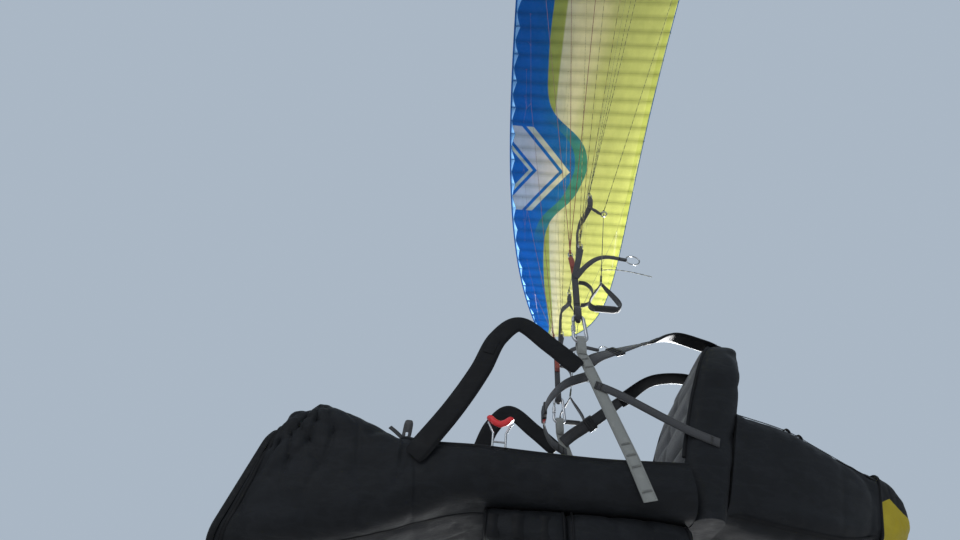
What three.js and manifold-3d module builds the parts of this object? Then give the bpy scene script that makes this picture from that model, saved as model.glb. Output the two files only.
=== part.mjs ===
// A solo paraglider in flight: ram-air canopy, line cascades, risers with brakes, and a pod harness.
// Millimetres. +X is forward, +Y the flyer's left, +Z up. The origin is on the canopy's root chord plane,
// straight above the two carabiners that the harness hangs from.
import * as THREE from "three";
import { mergeVertices } from "three/addons/utils/BufferGeometryUtils.js";
import Module from "manifold-3d";

const wasm = await Module();
wasm.setup();

// Driving sizes
const GAP = 0.3; // left between pieces that touch
const CLEAR = 0.4; // the same between sloping faces
const HANG_DROP = 7250; // from the root chord plane down to the carabiners
const HANG_SIDE = 230; // from the middle out to each carabiner

const CANOPY = {
  arcHalfWidth: 5000,
  arcDepth: 3040,
  tipTurn: THREE.MathUtils.degToRad(84), // where the tips end on that arc
  cellsPerHalf: 31,
  cellSpread: 0.02, // makes the cells narrower at the root and the tips
  rootChord: 2560,
  rootLead: 405, // how far the leading edge lies ahead of the carabiners
  tipSweep: 888,
  sweepPower: 2.4,
  chordFall: 0.978, // share of the half ellipse that the plan uses up at the tip
  chordPower: 2.3,
  thickness: 0.17, // of the chord
  camber: 0.03,
  camberPlace: 0.3,
  cellBulge: 0.09, // of the cell's width
  mouthTop: 0.012,
  mouthBottom: 0.065,
  mouthDepth: 0.034,
  ribNotch: 0.15, // share of the mouth's depth that shows at a rib
};
const THICKNESS_LAW = [0.2969, -0.126, -0.3516, 0.2843, -0.1015]; // for root x, x, x squared, cubed, fourth

// Canopy sections: name, first rib, last rib
const SECTIONS = [
  ["canopy_tip_right", -31, -23],
  ["canopy_mid_right", -23, -14],
  ["canopy_inner_right", -14, -5],
  ["canopy_centre", -5, 5],
  ["canopy_inner_left", 5, 14],
  ["canopy_mid_left", 14, 23],
  ["canopy_tip_left", 23, 31],
];

const LINES = {
  ribs: [1, 3, 6, 8, 11, 13, 16, 18, 21, 23, 26, 28], // where each row is tied, four to a main line
  mainShare: 0.6, // how much of the way up the main lines reach
  middleShare: 0.82,
  radius: 1.1,
  knotRadius: 6,
  footRadius: 8, // where the main lines of a row gather
  tieGap: 0.8,
};

// Rows of lines: name, share of the chord behind the leading edge, riser end (x, y, z), colour
const ROWS = [
  { name: "a", place: 0.1, end: [6, 238, 300], colour: 0xc2452e },
  { name: "b", place: 0.38, end: [-32, 248, 345], colour: 0x6b6a3c },
  { name: "c", place: 0.66, end: [-90, 283, 650], colour: 0x33352f },
];
const MAILLON = { halfLength: 7, radius: 7, rod: 2.2, footRise: 41.3 };
const BRAKE = {
  ribs: [3, 6, 11, 14, 18, 21, 25, 28],
  mainShare: 0.45,
  pulley: [-128, 294, 520],
  ringRadius: 11,
  ringRod: 2.5,
  fanRise: 9.9, // of the fan's lowest knot over the ring's centre
  lineRise: 1.3,
  handleTop: [-63, 316.5, 77],
  tail: [[-75.7, 312.4, 153.2], [-98, 311, 159.5], [-135, 310, 161.5], [-176, 310, 156], [-234, 310, 140.5]],
  tailRadius: 1.5,
  lineFoot: 1.6,
  handleWidth: 25,
  handleThick: 4,
  handleOutline: [[4, 0], [-4, 0], [-46, -86], [-44, -100], [-34, -108], [34, -108], [44, -100], [46, -86]],
};

const RISER = {
  loopWidth: 20,
  webThick: 4,
  loopHalf: 11,
  loopTop: 52,
  loopShoulder: 44,
  loopChamfer: 6,
  neck: 4,
  forkLap: 14, // how far the webs above start under the fork
  fork: [-2, 236, 210],
  webWidth: 22,
  redFoot: [-2, 229.4, 140],
  redKnee: [-2, 231.6, 218],
  redWidth: 20,
  redThick: 3.4,
  rearFoot: [[-10, 239.5, 250], [-16, 241.5, 290], [-23, 241, 376], [-31, 239, 465], [-39.5, 240, 500]],
  rearKnees: [[-36, 239.6, 485], [-51, 250, 526]],
  rearNarrow: 10, // the C web is narrow up to its knees
  tee: [-83, 277, 592], // where the brake ring's branch leaves the C web
  branchWidth: 12,
  branchThick: 3,
};
const TAB = {
  path: [[-4, 239.2, 190], [-42, 249, 244], [-82, 253, 284], [-120, 254, 299], [-185, 254, 290]],
  width: 20,
  thick: 2.6,
  ringRadius: 23.5,
  ringRod: 2.2,
};
const RISER_LOOP = {
  y: 234,
  path: [[-13.2, 172], [-36, 168], [-55, 140], [-46, 84], [-28, 66], [-12.2, 62]],
  width: 18,
  thick: 3,
};

const CARABINER = { rod: 5.5, topRadius: 16, bottomRadius: 20, length: 70, sides: 8 };
const STRAND_DROP = 3.7; // the harness strand lies this far under the carabiner's lower centre
const MAIN_STRAP = {
  width: 26,
  thick: 4,
  half: 11, // of the loop round the carabiner
  shoulder: 12,
  chamfer: 6,
  neck: 4,
  top: -138,
  foot: [-95, -440],
  seatEnd: [-118, -532],
  bodyWidth: 34,
};

const POD_HALF = HANG_SIDE - MAIN_STRAP.thick / 2 - GAP;
const POD_WALL = 12;
const POD_CORNER = 60;
const COCKPIT_FRONT = 430;
const COCKPIT_HEADROOM = 180; // how far the cut for the cockpit rises over the rim
// Pod stations: top x, bottom x, top z, bottom z, half width.
// Round the cockpit the corners are cut away, so that the rim ends 24 mm under the top.
const POD = [
  [-230, -230, -406, -540, POD_HALF],
  [0, 0, -416, -545, POD_HALF],
  [250, 250, -412, -550, POD_HALF],
  [COCKPIT_FRONT, 410, -406, -590, 210],
  [486, 462, -400, -612, 204],
  [588, 566, -371, -645, 194],
  [662, 650, -345, -662, 188],
  [724, 716, -326, -674, 182],
  [744, 748, -348, -680, 178],
  [788, 800, -362, -690, 172],
  [804, 838, -402, -698, 166],
];
const FOOT_PLATE = { thick: 24, taper: 12, corner: 50, pad: 6, padInset: 20 };
const SEAT_TOP = -470;
const SEAT_HALF = 190;
const SEAT_CORNER = 24;
const BELLY_CORNER = 28; // of the boxes under the floor
// Under the floor: share of the span, depth, half width
const PROTECTOR = { span: [-225, 60], stations: [[0, 62, 165], [0.3, 88, 178], [1, 92, 182]] };
const RESERVE = { span: [60.4, 248], stations: [[0, 92, 182], [0.6, 86, 178], [1, 58, 165]] };
// Back stations: front x, z, half width
const BACK = {
  footZ: -540,
  rearFoot: -300,
  rearSlope: 0.41,
  corner: 34,
  stations: [
    [-230.4, -540, 196],
    [-230.4, -430, 200],
    [-268, -300, 200],
    [-330, -150, 200],
    [-400, -20, 160],
    [-440, 40, 120],
  ],
};
// Tail stations: top x, bottom x, top z, bottom z, half width
const TAIL = {
  wall: 18,
  corner: 55,
  capCorner: 40,
  frontHeights: [-232, -525],
  frontHalf: 186,
  stations: [
    [-560, -480, -259, -545, 168],
    [-640, -560, -290, -547, 146],
    [-725, -632, -316, -538, 116],
    [-798, -700, -328, -520, 84],
  ],
  cap: [
    [-836, -772, -344, -500, 60],
    [-858, -828, -372, -466, 34],
  ],
};
const SIDE_CLEAR = HANG_SIDE + MAIN_STRAP.thick / 2 + GAP; // the main strap's outer face
const STRAPS = {
  back: {
    points: [
      [-26, SIDE_CLEAR + 1.9, -240],
      [-80, SIDE_CLEAR + 1.9, -262],
      [-250, 206, -330],
      [-330, 202.2, -360],
    ],
    faces: [[0, 1, 0], [0, 1, 0], [0, 1, 0], [0, 1, 0]],
    width: 26,
    thick: 3,
    steps: 8,
  },
  cockpit: {
    points: [
      [14, SIDE_CLEAR + 4, -192],
      [92, 242, -124],
      [186, 248, -56],
      [246, 250, -118],
      [289, 248, -238],
      [346, 236, -352],
      [428, 215, -478],
    ],
    faces: [[0, 1, 0], [0, 1, 0], [0, 1, 0], [0.1, 1, 0]],
    width: 68,
    thick: 7,
    steps: 18,
  },
  shoulder: {
    points: [
      [-492, 92, 42.2],
      [-430, 98, 60],
      [-330, 126, 58],
      [-222, 162, -14],
      [-118, 202, -88],
      [-44, 220.5, -136],
      [-8, 223.4, -168],
    ],
    faces: [[0, 0, 1], [0.2, 0.2, 1], [0.1, 0.8, 0.5], [0, 1, 0]],
    width: 40,
    thick: 3.4,
    steps: 28,
  },
};
const CHEST = {
  points: [[-19, 226.3, -205], [40, 170, -200], [76, 80, -196], [84, 0, -195]],
  width: 32,
  thick: 3,
  buckle: [14, 62, 46],
};
// Two legs stand on the rim and spread, and the grip sags between their ends.
const RESCUE_HANDLE = {
  path: [
    [208, -438],
    [208, -402],
    [193, -374],
    [195, -358],
    [204, -359],
    [224, -379],
    [244, -359],
    [253, -358],
    [255, -374],
    [240, -402],
    [240, -437.5],
  ],
  width: 11,
  thick: 6,
};

// Colours
const BLACK = 0x1d1f22;
const CHARCOAL = 0x2b2d30;
const METAL = 0xb9bcc0;
const YELLOW = 0xd9cf3a;
const GREY_WEB = 0x84867f;
const RED = 0xc21f2c;
const SAIL = 0xbcd045;

// Geometry helpers
const vec = (x, y, z) => new THREE.Vector3(x, y, z);
const mirrored = (point, side) => vec(point[0], point[1] * side, point[2]);

// A closed geometry with shared vertices, its faces turned outwards.
function closedGeometry(points, faces) {
  let volume = 0;
  for (const [a, b, c] of faces) {
    volume += points[a].dot(new THREE.Vector3().crossVectors(points[b], points[c]));
  }
  const index = faces.flatMap(([a, b, c]) => (volume < 0 ? [a, c, b] : [a, b, c]));
  const geometry = new THREE.BufferGeometry().setFromPoints(points);
  geometry.setIndex(index);
  return geometry;
}

// The triangles that close a flat ring, wound like the ring itself.
function ringCap(ring) {
  const normal = vec(0, 0, 0);
  ring.forEach((p, i) => normal.add(new THREE.Vector3().crossVectors(p, ring[(i + 1) % ring.length])));
  const flat = ["x", "y", "z"].sort((a, b) => Math.abs(normal[a]) - Math.abs(normal[b]));
  const outline = ring.map((p) => new THREE.Vector2(p[flat[0]], p[flat[1]]));
  return THREE.ShapeUtils.triangulateShape(outline, []).map(([a, b, c]) => {
    const ab = new THREE.Vector3().subVectors(ring[b], ring[a]);
    const turned = ab.cross(new THREE.Vector3().subVectors(ring[c], ring[a])).dot(normal) < 0;
    return turned ? [a, c, b] : [a, b, c];
  });
}

// A solid through a row of rings with equal counts; closed joins the last ring to the first.
function loft(rings, closed = false) {
  const count = rings[0].length;
  const faces = [];
  const spans = closed ? rings.length : rings.length - 1;
  for (let k = 0; k < spans; k++) {
    const near = k * count;
    const far = ((k + 1) % rings.length) * count;
    for (let i = 0; i < count; i++) {
      const j = (i + 1) % count;
      faces.push([near + i, near + j, far + j], [near + i, far + j, far + i]);
    }
  }
  if (!closed) {
    const last = (rings.length - 1) * count;
    ringCap(rings[0]).forEach(([a, b, c]) => faces.push([a, c, b]));
    ringCap(rings.at(-1)).forEach(([a, b, c]) => faces.push([last + a, last + b, last + c]));
  }
  return closedGeometry(rings.flat(), faces);
}

// A rounded rectangle round a centre, with two half axes given as vectors.
function roundedRing(centre, u, v, radius, steps = 3) {
  const corner = Math.min(radius, 0.98 * u.length(), 0.98 * v.length());
  const uDir = u.clone().normalize();
  const vDir = v.clone().normalize();
  const ring = [];
  for (let quarter = 0; quarter < 4; quarter++) {
    const uSign = quarter === 0 || quarter === 3 ? 1 : -1;
    const vSign = quarter < 2 ? 1 : -1;
    for (let step = 0; step <= steps; step++) {
      const turn = ((quarter + step / steps) * Math.PI) / 2;
      const du = uSign * (u.length() - corner) + corner * Math.cos(turn);
      const dv = vSign * (v.length() - corner) + corner * Math.sin(turn);
      ring.push(centre.clone().addScaledVector(uDir, du).addScaledVector(vDir, dv));
    }
  }
  return ring;
}

// Flat webbing along a path. Either across gives the direction of its width, or face that of its flat side;
// face may be a list with a direction for each point.
function webbing(path, { across, face }, width, thick, closed = false) {
  const rings = path.map((p, i) => {
    const before = path[closed ? (i + path.length - 1) % path.length : Math.max(i - 1, 0)];
    const after = path[closed ? (i + 1) % path.length : Math.min(i + 1, path.length - 1)];
    const along = new THREE.Vector3().subVectors(after, before).normalize();
    const given = across ?? (Array.isArray(face) ? face[i] : face);
    const square = given.clone().addScaledVector(along, -along.dot(given)).normalize();
    const other = new THREE.Vector3().crossVectors(along, square);
    const [side, out] = across ? [square, other] : [other, square];
    return [[1, 1], [-1, 1], [-1, -1], [1, -1]].map(([w, t]) =>
      p.clone().addScaledVector(side, (w * width) / 2).addScaledVector(out, (t * thick) / 2),
    );
  });
  return loft(rings, closed);
}

// A smooth open path through a few points.
function smooth(points, steps = 10) {
  return new THREE.CatmullRomCurve3(points, false, "centripetal").getPoints(steps);
}

// A round rod bent along a closed flat outline; axis is the outline's normal.
function rodLoop(outline, axis, radius, sides) {
  const rings = outline.map((p, i) => {
    const after = outline[(i + 1) % outline.length];
    const before = outline[(i + outline.length - 1) % outline.length];
    const out = new THREE.Vector3().subVectors(after, before).cross(axis).normalize();
    return Array.from({ length: sides }, (_, k) => {
      const turn = (k / sides) * 2 * Math.PI;
      return p
        .clone()
        .addScaledVector(out, radius * Math.cos(turn))
        .addScaledVector(axis, radius * Math.sin(turn));
    });
  });
  return loft(rings, true);
}

// A stadium outline in the XZ plane: a top arc about the origin and a bottom arc length below it.
function stadium(topRadius, bottomRadius, length, steps = 6) {
  const arc = (centreZ, radius, from) =>
    Array.from({ length: steps + 1 }, (_, i) => {
      const turn = from + (i / steps) * Math.PI;
      return vec(radius * Math.cos(turn), 0, centreZ + radius * Math.sin(turn));
    });
  return [...arc(0, topRadius, 0), ...arc(-length, bottomRadius, Math.PI)];
}

// A straight round cord between two points.
function cord(from, to, radius, sides = 3) {
  const along = new THREE.Vector3().subVectors(to, from);
  const geometry = new THREE.CylinderGeometry(radius, radius, along.length(), sides);
  geometry.applyQuaternion(
    new THREE.Quaternion().setFromUnitVectors(vec(0, 1, 0), along.clone().normalize()),
  );
  return geometry.translate(...from.clone().lerp(to, 0.5).toArray());
}

// Booleans
function solidOf(geometry) {
  const bare = geometry.clone();
  bare.deleteAttribute("normal");
  bare.deleteAttribute("uv");
  const merged = mergeVertices(bare, 1e-4);
  return new wasm.Manifold(
    new wasm.Mesh({
      numProp: 3,
      vertProperties: merged.attributes.position.array,
      triVerts: new Uint32Array(merged.index.array),
    }),
  );
}

function geometryOf(solid) {
  const mesh = solid.getMesh();
  const geometry = new THREE.BufferGeometry();
  geometry.setAttribute("position", new THREE.BufferAttribute(mesh.vertProperties, 3));
  return geometry.setIndex(new THREE.BufferAttribute(mesh.triVerts, 1));
}

const joined = (geometries) =>
  geometryOf(geometries.map(solidOf).reduce((whole, piece) => whole.add(piece)));
const cut = (geometry, tool) => geometryOf(solidOf(geometry).subtract(solidOf(tool)));

// Named pieces
function piece(name, geometry, colour, roughness = 0.85, metalness = 0) {
  const flatShaded = geometry.index ? geometry.toNonIndexed() : geometry;
  flatShaded.computeVertexNormals();
  const mesh = new THREE.Mesh(
    flatShaded,
    new THREE.MeshStandardMaterial({ color: colour, roughness, metalness }),
  );
  mesh.name = name;
  return mesh;
}

const SIDES = [
  { side: 1, suffix: "left" },
  { side: -1, suffix: "right" },
];

// Canopy
function ribTurn(rib) {
  const share = Math.abs(rib) / CANOPY.cellsPerHalf;
  const eased = share - CANOPY.cellSpread * Math.sin(2 * Math.PI * share);
  return Math.sign(rib) * CANOPY.tipTurn * eased;
}

function chordAt(turn) {
  const used = CANOPY.chordFall * Math.abs(turn / CANOPY.tipTurn);
  return CANOPY.rootChord * Math.sqrt(1 - used ** CANOPY.chordPower);
}

function leadAt(turn) {
  return CANOPY.rootLead - CANOPY.tipSweep * Math.abs(turn / CANOPY.tipTurn) ** CANOPY.sweepPower;
}

function halfThickness(x) {
  const powers = [Math.sqrt(x), x, x ** 2, x ** 3, x ** 4];
  return 5 * CANOPY.thickness * powers.reduce((sum, p, i) => sum + p * THICKNESS_LAW[i], 0);
}

function camberAt(x) {
  const { camber, camberPlace: p } = CANOPY;
  return x < p
    ? (camber / p ** 2) * (2 * p * x - x * x)
    : (camber / (1 - p) ** 2) * (1 - 2 * p + 2 * p * x - x * x);
}

const lowerAt = (x) => camberAt(x) - halfThickness(x);

// The point a share of the chord behind the leading edge, lift chords above the chord plane.
function canopyPoint(turn, place, lift, proud = 0) {
  const { arcHalfWidth: a, arcDepth: b } = CANOPY;
  const up = new THREE.Vector3(0, b * Math.sin(turn), a * Math.cos(turn)).normalize();
  const chord = chordAt(turn);
  return vec(leadAt(turn) - place * chord, a * Math.sin(turn), -b * (1 - Math.cos(turn))).addScaledVector(
    up,
    lift * chord + proud,
  );
}

const UPPER_PLACES = [1, 0.84, 0.64, 0.44, 0.27, 0.13, 0.045, 0];
const LOWER_PLACES = [0.1, 0.24, 0.38, 0.52, 0.66, 0.83, 1]; // the rows of lines are tied at three of these
const NOSE_BULGE = 0.3; // share of the cell's bulge that the leading edge takes
// How far back and up the mouth's two inner corners lie, in shares of its depth
const MOUTH_TOP_IN = { x: 0.8, z: 0.5 };
const MOUTH_BOTTOM_IN = { x: 0.4, z: 0.9 };

// One cross-section of the canopy; depth is how far the mouth is cut in, bulge how far the cloth stands out.
function canopyRing(turn, depth, bulge) {
  const { mouthTop, mouthBottom } = CANOPY;
  const inside = (place, { x, z }) => canopyPoint(turn, place + depth * x, lowerAt(place) + depth * z);
  const upper = UPPER_PLACES.map((x) => {
    const proud = x === 1 ? 0 : bulge * (x === 0 ? NOSE_BULGE : 1);
    return canopyPoint(turn, x, camberAt(x) + halfThickness(x), proud);
  });
  const mouth = [
    canopyPoint(turn, mouthTop, lowerAt(mouthTop)),
    inside(mouthTop, MOUTH_TOP_IN),
    inside(mouthBottom, MOUTH_BOTTOM_IN),
    canopyPoint(turn, mouthBottom, lowerAt(mouthBottom)),
  ];
  const lower = LOWER_PLACES.map((x) => canopyPoint(turn, x, lowerAt(x), x === 1 ? 0 : -bulge));
  return [...upper, ...mouth, ...lower];
}

function canopySection(first, last) {
  const rings = [];
  const edgeTurn = (0.85 * GAP) / CANOPY.arcHalfWidth; // the seams are narrowest at the tips
  for (let rib = first; rib <= last; rib++) {
    const inward = rib === first ? edgeTurn : rib === last ? -edgeTurn : 0;
    rings.push(canopyRing(ribTurn(rib) + inward, CANOPY.mouthDepth * CANOPY.ribNotch, 0));
    if (rib === last) break;
    const width = CANOPY.arcHalfWidth * Math.abs(ribTurn(rib + 1) - ribTurn(rib));
    rings.push(canopyRing(ribTurn(rib + 0.5), CANOPY.mouthDepth, CANOPY.cellBulge * width));
  }
  return loft(rings);
}

function buildCanopy() {
  const group = new THREE.Group();
  SECTIONS.forEach(([name, first, last]) => group.add(piece(name, canopySection(first, last), SAIL)));
  return group;
}

// Lines
const knot = (at, radius = LINES.knotRadius) =>
  new THREE.OctahedronGeometry(radius).translate(...at.toArray());
const middleOf = (points) =>
  points.reduce((sum, p) => sum.add(p), vec(0, 0, 0)).divideScalar(points.length);

// Where a line is tied under a rib, just clear of the cloth.
function tieUnder(rib, side, place) {
  return canopyPoint(ribTurn(rib * side), place, lowerAt(place), -LINES.tieGap);
}

// A cascade: each four ties share a main line, each two a middle line.
function cascade(foot, ties) {
  const pieces = [];
  for (let i = 0; i < ties.length; i += 4) {
    const four = ties.slice(i, i + 4);
    const low = foot.clone().lerp(middleOf(four), LINES.mainShare);
    pieces.push(cord(foot, low, LINES.radius), knot(low));
    for (const two of [four.slice(0, 2), four.slice(2)]) {
      const high = foot.clone().lerp(middleOf(two), LINES.middleShare);
      pieces.push(cord(low, high, LINES.radius), knot(high));
      two.forEach((tie) => pieces.push(cord(high, tie, LINES.radius)));
    }
  }
  return pieces;
}

const hung = (point, side) => mirrored(point, side).add(vec(0, 0, -HANG_DROP));

function buildLines() {
  const group = new THREE.Group();
  for (const { side, suffix } of SIDES) {
    for (const { name, place, end, colour } of ROWS) {
      const foot = hung(end, side).add(vec(0, 0, MAILLON.footRise));
      const ties = LINES.ribs.map((rib) => tieUnder(rib, side, place));
      const row = joined([knot(foot, LINES.footRadius), ...cascade(foot, ties)]);
      group.add(piece(`${name}_lines_${suffix}`, row, colour));
    }
    const foot = hung(BRAKE.pulley, side).add(vec(0, 0, BRAKE.fanRise));
    const ties = BRAKE.ribs.map((rib) => tieUnder(rib, side, 1));
    const top = foot.clone().lerp(middleOf(ties), BRAKE.mainShare);
    const stem = [knot(foot, LINES.footRadius), cord(foot, top, LINES.radius), knot(top)];
    group.add(piece(`brake_fan_${suffix}`, joined([...stem, ...cascade(top, ties)]), BLACK));
  }
  return group;
}

// Risers, in the frame of the carabiners
const flatSide = { face: vec(0, 1, 0) };
const raised = (point, rise) => point.clone().add(vec(0, 0, rise));

// The black riser: a loop round the carabiner, the common web, the B and C webs and the brake ring's branch.
function riserBody(side) {
  const { loopHalf: h, loopTop, webThick, loopWidth, webWidth } = RISER;
  const y = HANG_SIDE * side;
  const { loopShoulder: shoulder, loopChamfer: chamfer, neck } = RISER;
  const half = [[h, shoulder], [h, chamfer], [h - chamfer + 1, 0]];
  const outline = [...half.map(([dy, z]) => [-dy, z]), ...half.reverse(), [neck, loopTop], [-neck, loopTop]];
  const loopPath = outline.map(([dy, z]) => vec(0, y + dy, z));
  const fork = mirrored(RISER.fork, side);
  const strip = (path, width = webWidth) => webbing(path, flatSide, width, webThick);
  const placed = (points) => points.map((p) => mirrored(p, side));
  const [, rowB, rowC] = ROWS.map((row) => mirrored(row.end, side));
  const tee = mirrored(RISER.tee, side);
  const ringFront = mirrored(BRAKE.pulley, side).add(vec(BRAKE.ringRadius, 0, 0));
  const branchEnd = ringFront.clone().lerp(tee, (BRAKE.ringRod + GAP) / ringFront.distanceTo(tee));
  return joined([
    webbing(loopPath, { across: vec(1, 0, 0) }, loopWidth, webThick, true),
    strip([vec(0, y, loopTop - neck), fork]),
    strip([raised(fork, -RISER.forkLap), rowB]),
    strip([raised(fork, -RISER.forkLap), ...placed(RISER.rearFoot)], RISER.rearNarrow),
    strip([...placed(RISER.rearKnees), tee, rowC]),
    webbing([tee, branchEnd], flatSide, RISER.branchWidth, RISER.branchThick),
  ]);
}

// The red A web, sewn to the inner face of the common web.
function redRiser(side) {
  const path = [RISER.redFoot, RISER.redKnee, ROWS[0].end].map((p) => mirrored(p, side));
  return webbing(path, flatSide, RISER.redWidth, RISER.redThick);
}

// A web that streams back from the outer face of the riser and ends at a ring.
function riserTab(side) {
  const path = smooth(TAB.path.map((p) => mirrored(p, side)), 8);
  return webbing(path, flatSide, TAB.width, TAB.thick);
}

function tabRing(side) {
  const back = vec(-TAB.ringRadius - TAB.ringRod - GAP, 0, 0);
  const centre = mirrored(TAB.path.at(-1), side).add(back);
  const outline = Array.from({ length: 14 }, (_, i) => {
    const turn = (i / 14) * 2 * Math.PI;
    return centre.clone().add(vec(TAB.ringRadius * Math.cos(turn), 0, TAB.ringRadius * Math.sin(turn)));
  });
  return rodLoop(outline, vec(0, 1, 0), TAB.ringRod, 6);
}

// A slack loop of webbing behind the common web.
function riserLoop(side) {
  const { y, path, width, thick } = RISER_LOOP;
  const bent = path.map(([x, z]) => vec(x, side * y, z));
  return webbing(smooth(bent, 12), { across: vec(0, 1, 0) }, width, thick);
}

function maillon(end) {
  const centre = raised(end, MAILLON.halfLength + MAILLON.radius + MAILLON.rod + GAP);
  const outline = stadium(MAILLON.radius, MAILLON.radius, 2 * MAILLON.halfLength, 4).map((p) =>
    p.add(centre).add(vec(0, 0, MAILLON.halfLength)),
  );
  return rodLoop(outline, vec(0, 1, 0), MAILLON.rod, 6);
}

function brakeRing(side) {
  const ring = new THREE.TorusGeometry(BRAKE.ringRadius, BRAKE.ringRod, 6, 12);
  return ring.translate(...mirrored(BRAKE.pulley, side).toArray());
}

function buildRisers() {
  const group = new THREE.Group();
  group.position.z = -HANG_DROP;
  for (const { side, suffix } of SIDES) {
    group.add(
      piece(`riser_body_${suffix}`, riserBody(side), BLACK),
      piece(`a_riser_${suffix}`, redRiser(side), ROWS[0].colour),
      piece(`riser_tab_${suffix}`, riserTab(side), BLACK),
      piece(`tab_ring_${suffix}`, tabRing(side), METAL, 0.3, 1),
      piece(`riser_loop_${suffix}`, riserLoop(side), BLACK),
      piece(`brake_ring_${suffix}`, brakeRing(side), METAL, 0.3, 1),
    );
    for (const { name, end } of ROWS) {
      group.add(piece(`${name}_maillon_${suffix}`, maillon(mirrored(end, side)), METAL, 0.3, 1));
    }
  }
  return group;
}

// Brakes: the handle and its line slide down away from the ring
function brakeHandle(side) {
  const top = mirrored(BRAKE.handleTop, side);
  const path = BRAKE.handleOutline.map(([x, z]) => top.clone().add(vec(x, 0, z)));
  return webbing(path, { across: vec(0, 1, 0) }, BRAKE.handleWidth, BRAKE.handleThick, true);
}

function brakeLine(side) {
  const top = raised(mirrored(BRAKE.pulley, side), BRAKE.lineRise);
  return cord(top, raised(mirrored(BRAKE.handleTop, side), BRAKE.lineFoot), LINES.radius, 8);
}

// The line's stiff end streams back from its knot.
function brakeTail(side) {
  const path = new THREE.CatmullRomCurve3(BRAKE.tail.map((p) => mirrored(p, side)), false, "centripetal");
  const turns = Array.from({ length: 8 }, (_, k) => (k / 8) * 2 * Math.PI);
  const section = new THREE.Shape(
    turns.map((a) => new THREE.Vector2(Math.cos(a), Math.sin(a)).multiplyScalar(BRAKE.tailRadius)),
  );
  return new THREE.ExtrudeGeometry(section, { steps: 20, extrudePath: path });
}

function buildBrakes() {
  const group = new THREE.Group();
  group.position.z = -HANG_DROP;
  for (const { side, suffix } of SIDES) {
    group.add(
      piece(`brake_handle_${suffix}`, brakeHandle(side), BLACK),
      piece(`brake_line_${suffix}`, brakeLine(side), BLACK),
      piece(`brake_tail_${suffix}`, brakeTail(side), BLACK),
    );
  }
  return group;
}

// Harness, in the frame of the carabiners
// A ring for a body that runs along X, with its top and bottom at different places along it.
function bodyRing([topX, bottomX, topZ, bottomZ, half], radius) {
  const centre = vec((topX + bottomX) / 2, 0, (topZ + bottomZ) / 2);
  return roundedRing(centre, vec(0, half, 0), vec((topX - bottomX) / 2, 0, (topZ - bottomZ) / 2), radius);
}

const bodyLoft = (stations, radius) => loft(stations.map((station) => bodyRing(station, radius)));

// The pod's cloth shell: an open cockpit, a cover over the shins, and an open front that the foot plate closes.
function podShell() {
  const inner = POD.map(([topX, bottomX, topZ, bottomZ, half], i) => {
    const open = topX <= COCKPIT_FRONT;
    const shift = i === 0 || i === POD.length - 1 ? POD_WALL : 0;
    const top = open ? topZ + COCKPIT_HEADROOM : topZ - POD_WALL;
    return [topX + shift, bottomX + shift, top, bottomZ + POD_WALL, half - POD_WALL];
  });
  return cut(bodyLoft(POD, POD_CORNER), bodyLoft(inner, POD_CORNER - POD_WALL));
}

// The foot plate closes the pod's front end; its pad, which the feet push on, reaches into the pod.
function footPlate() {
  const [topX, bottomX, topZ, bottomZ, half] = POD.at(-1);
  const { thick, taper, corner, pad, padInset } = FOOT_PLATE;
  const ring = (shift, inward) => {
    const [top, bottom] = [topZ - inward, bottomZ + inward];
    const planeX = (z) => THREE.MathUtils.mapLinear(z, topZ, bottomZ, topX, bottomX) + GAP;
    return [planeX(top) + shift, planeX(bottom) + shift, top, bottom, half - inward];
  };
  return bodyLoft([ring(-pad, padInset), ring(0, padInset), ring(0, 0), ring(thick, taper)], corner);
}

function seat() {
  const stations = POD.slice(0, 3).map(([x, , , bottomZ], i) => {
    const place = i === 0 ? x + POD_WALL + CLEAR : x;
    return [place, place, SEAT_TOP, bottomZ + POD_WALL + CLEAR, SEAT_HALF];
  });
  return bodyLoft(stations, SEAT_CORNER);
}

// Below the pod's floor, from one station to another along it.
function underFloor(fromX, toX, stations) {
  const floorAt = (x) => {
    const k = x < POD[1][0] ? 0 : 1;
    const share = (x - POD[k][1]) / (POD[k + 1][1] - POD[k][1]);
    return THREE.MathUtils.lerp(POD[k][3], POD[k + 1][3], share) - CLEAR;
  };
  return bodyLoft(
    stations.map(([share, depth, half]) => {
      const x = THREE.MathUtils.lerp(fromX, toX, share);
      return [x, x, floorAt(x), floorAt(x) - depth, half];
    }),
    BELLY_CORNER,
  );
}

const backRearAt = (z) => BACK.rearFoot - (z - BACK.footZ) * BACK.rearSlope;

function backShell() {
  const rings = BACK.stations.map(([frontX, z, half]) => {
    const rearX = backRearAt(z);
    const centre = vec((frontX + rearX) / 2, 0, z);
    return roundedRing(centre, vec((frontX - rearX) / 2, 0, 0), vec(0, half, 0), BACK.corner);
  });
  return loft(rings);
}

// The tail is blown up by air: a cloth shell, open where it stands against the back.
function tail() {
  const [topZ, bottomZ] = TAIL.frontHeights;
  const behind = (z) => backRearAt(z) - CLEAR;
  const front = [behind(topZ), behind(bottomZ), topZ, bottomZ, TAIL.frontHalf];
  const stations = [front, ...TAIL.stations];
  const inner = stations.map(([topX, bottomX, top, bottom, half], i) => {
    const shift = i === 0 || i === stations.length - 1 ? TAIL.wall : 0;
    return [topX + shift, bottomX + shift, top - TAIL.wall, bottom + TAIL.wall, half - TAIL.wall];
  });
  return cut(bodyLoft(stations, TAIL.corner), bodyLoft(inner, TAIL.corner - TAIL.wall));
}

function tailCap() {
  const [topX, bottomX, topZ, bottomZ, half] = TAIL.stations.at(-1);
  return bodyLoft([[topX - GAP, bottomX - GAP, topZ, bottomZ, half], ...TAIL.cap], TAIL.capCorner);
}

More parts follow.
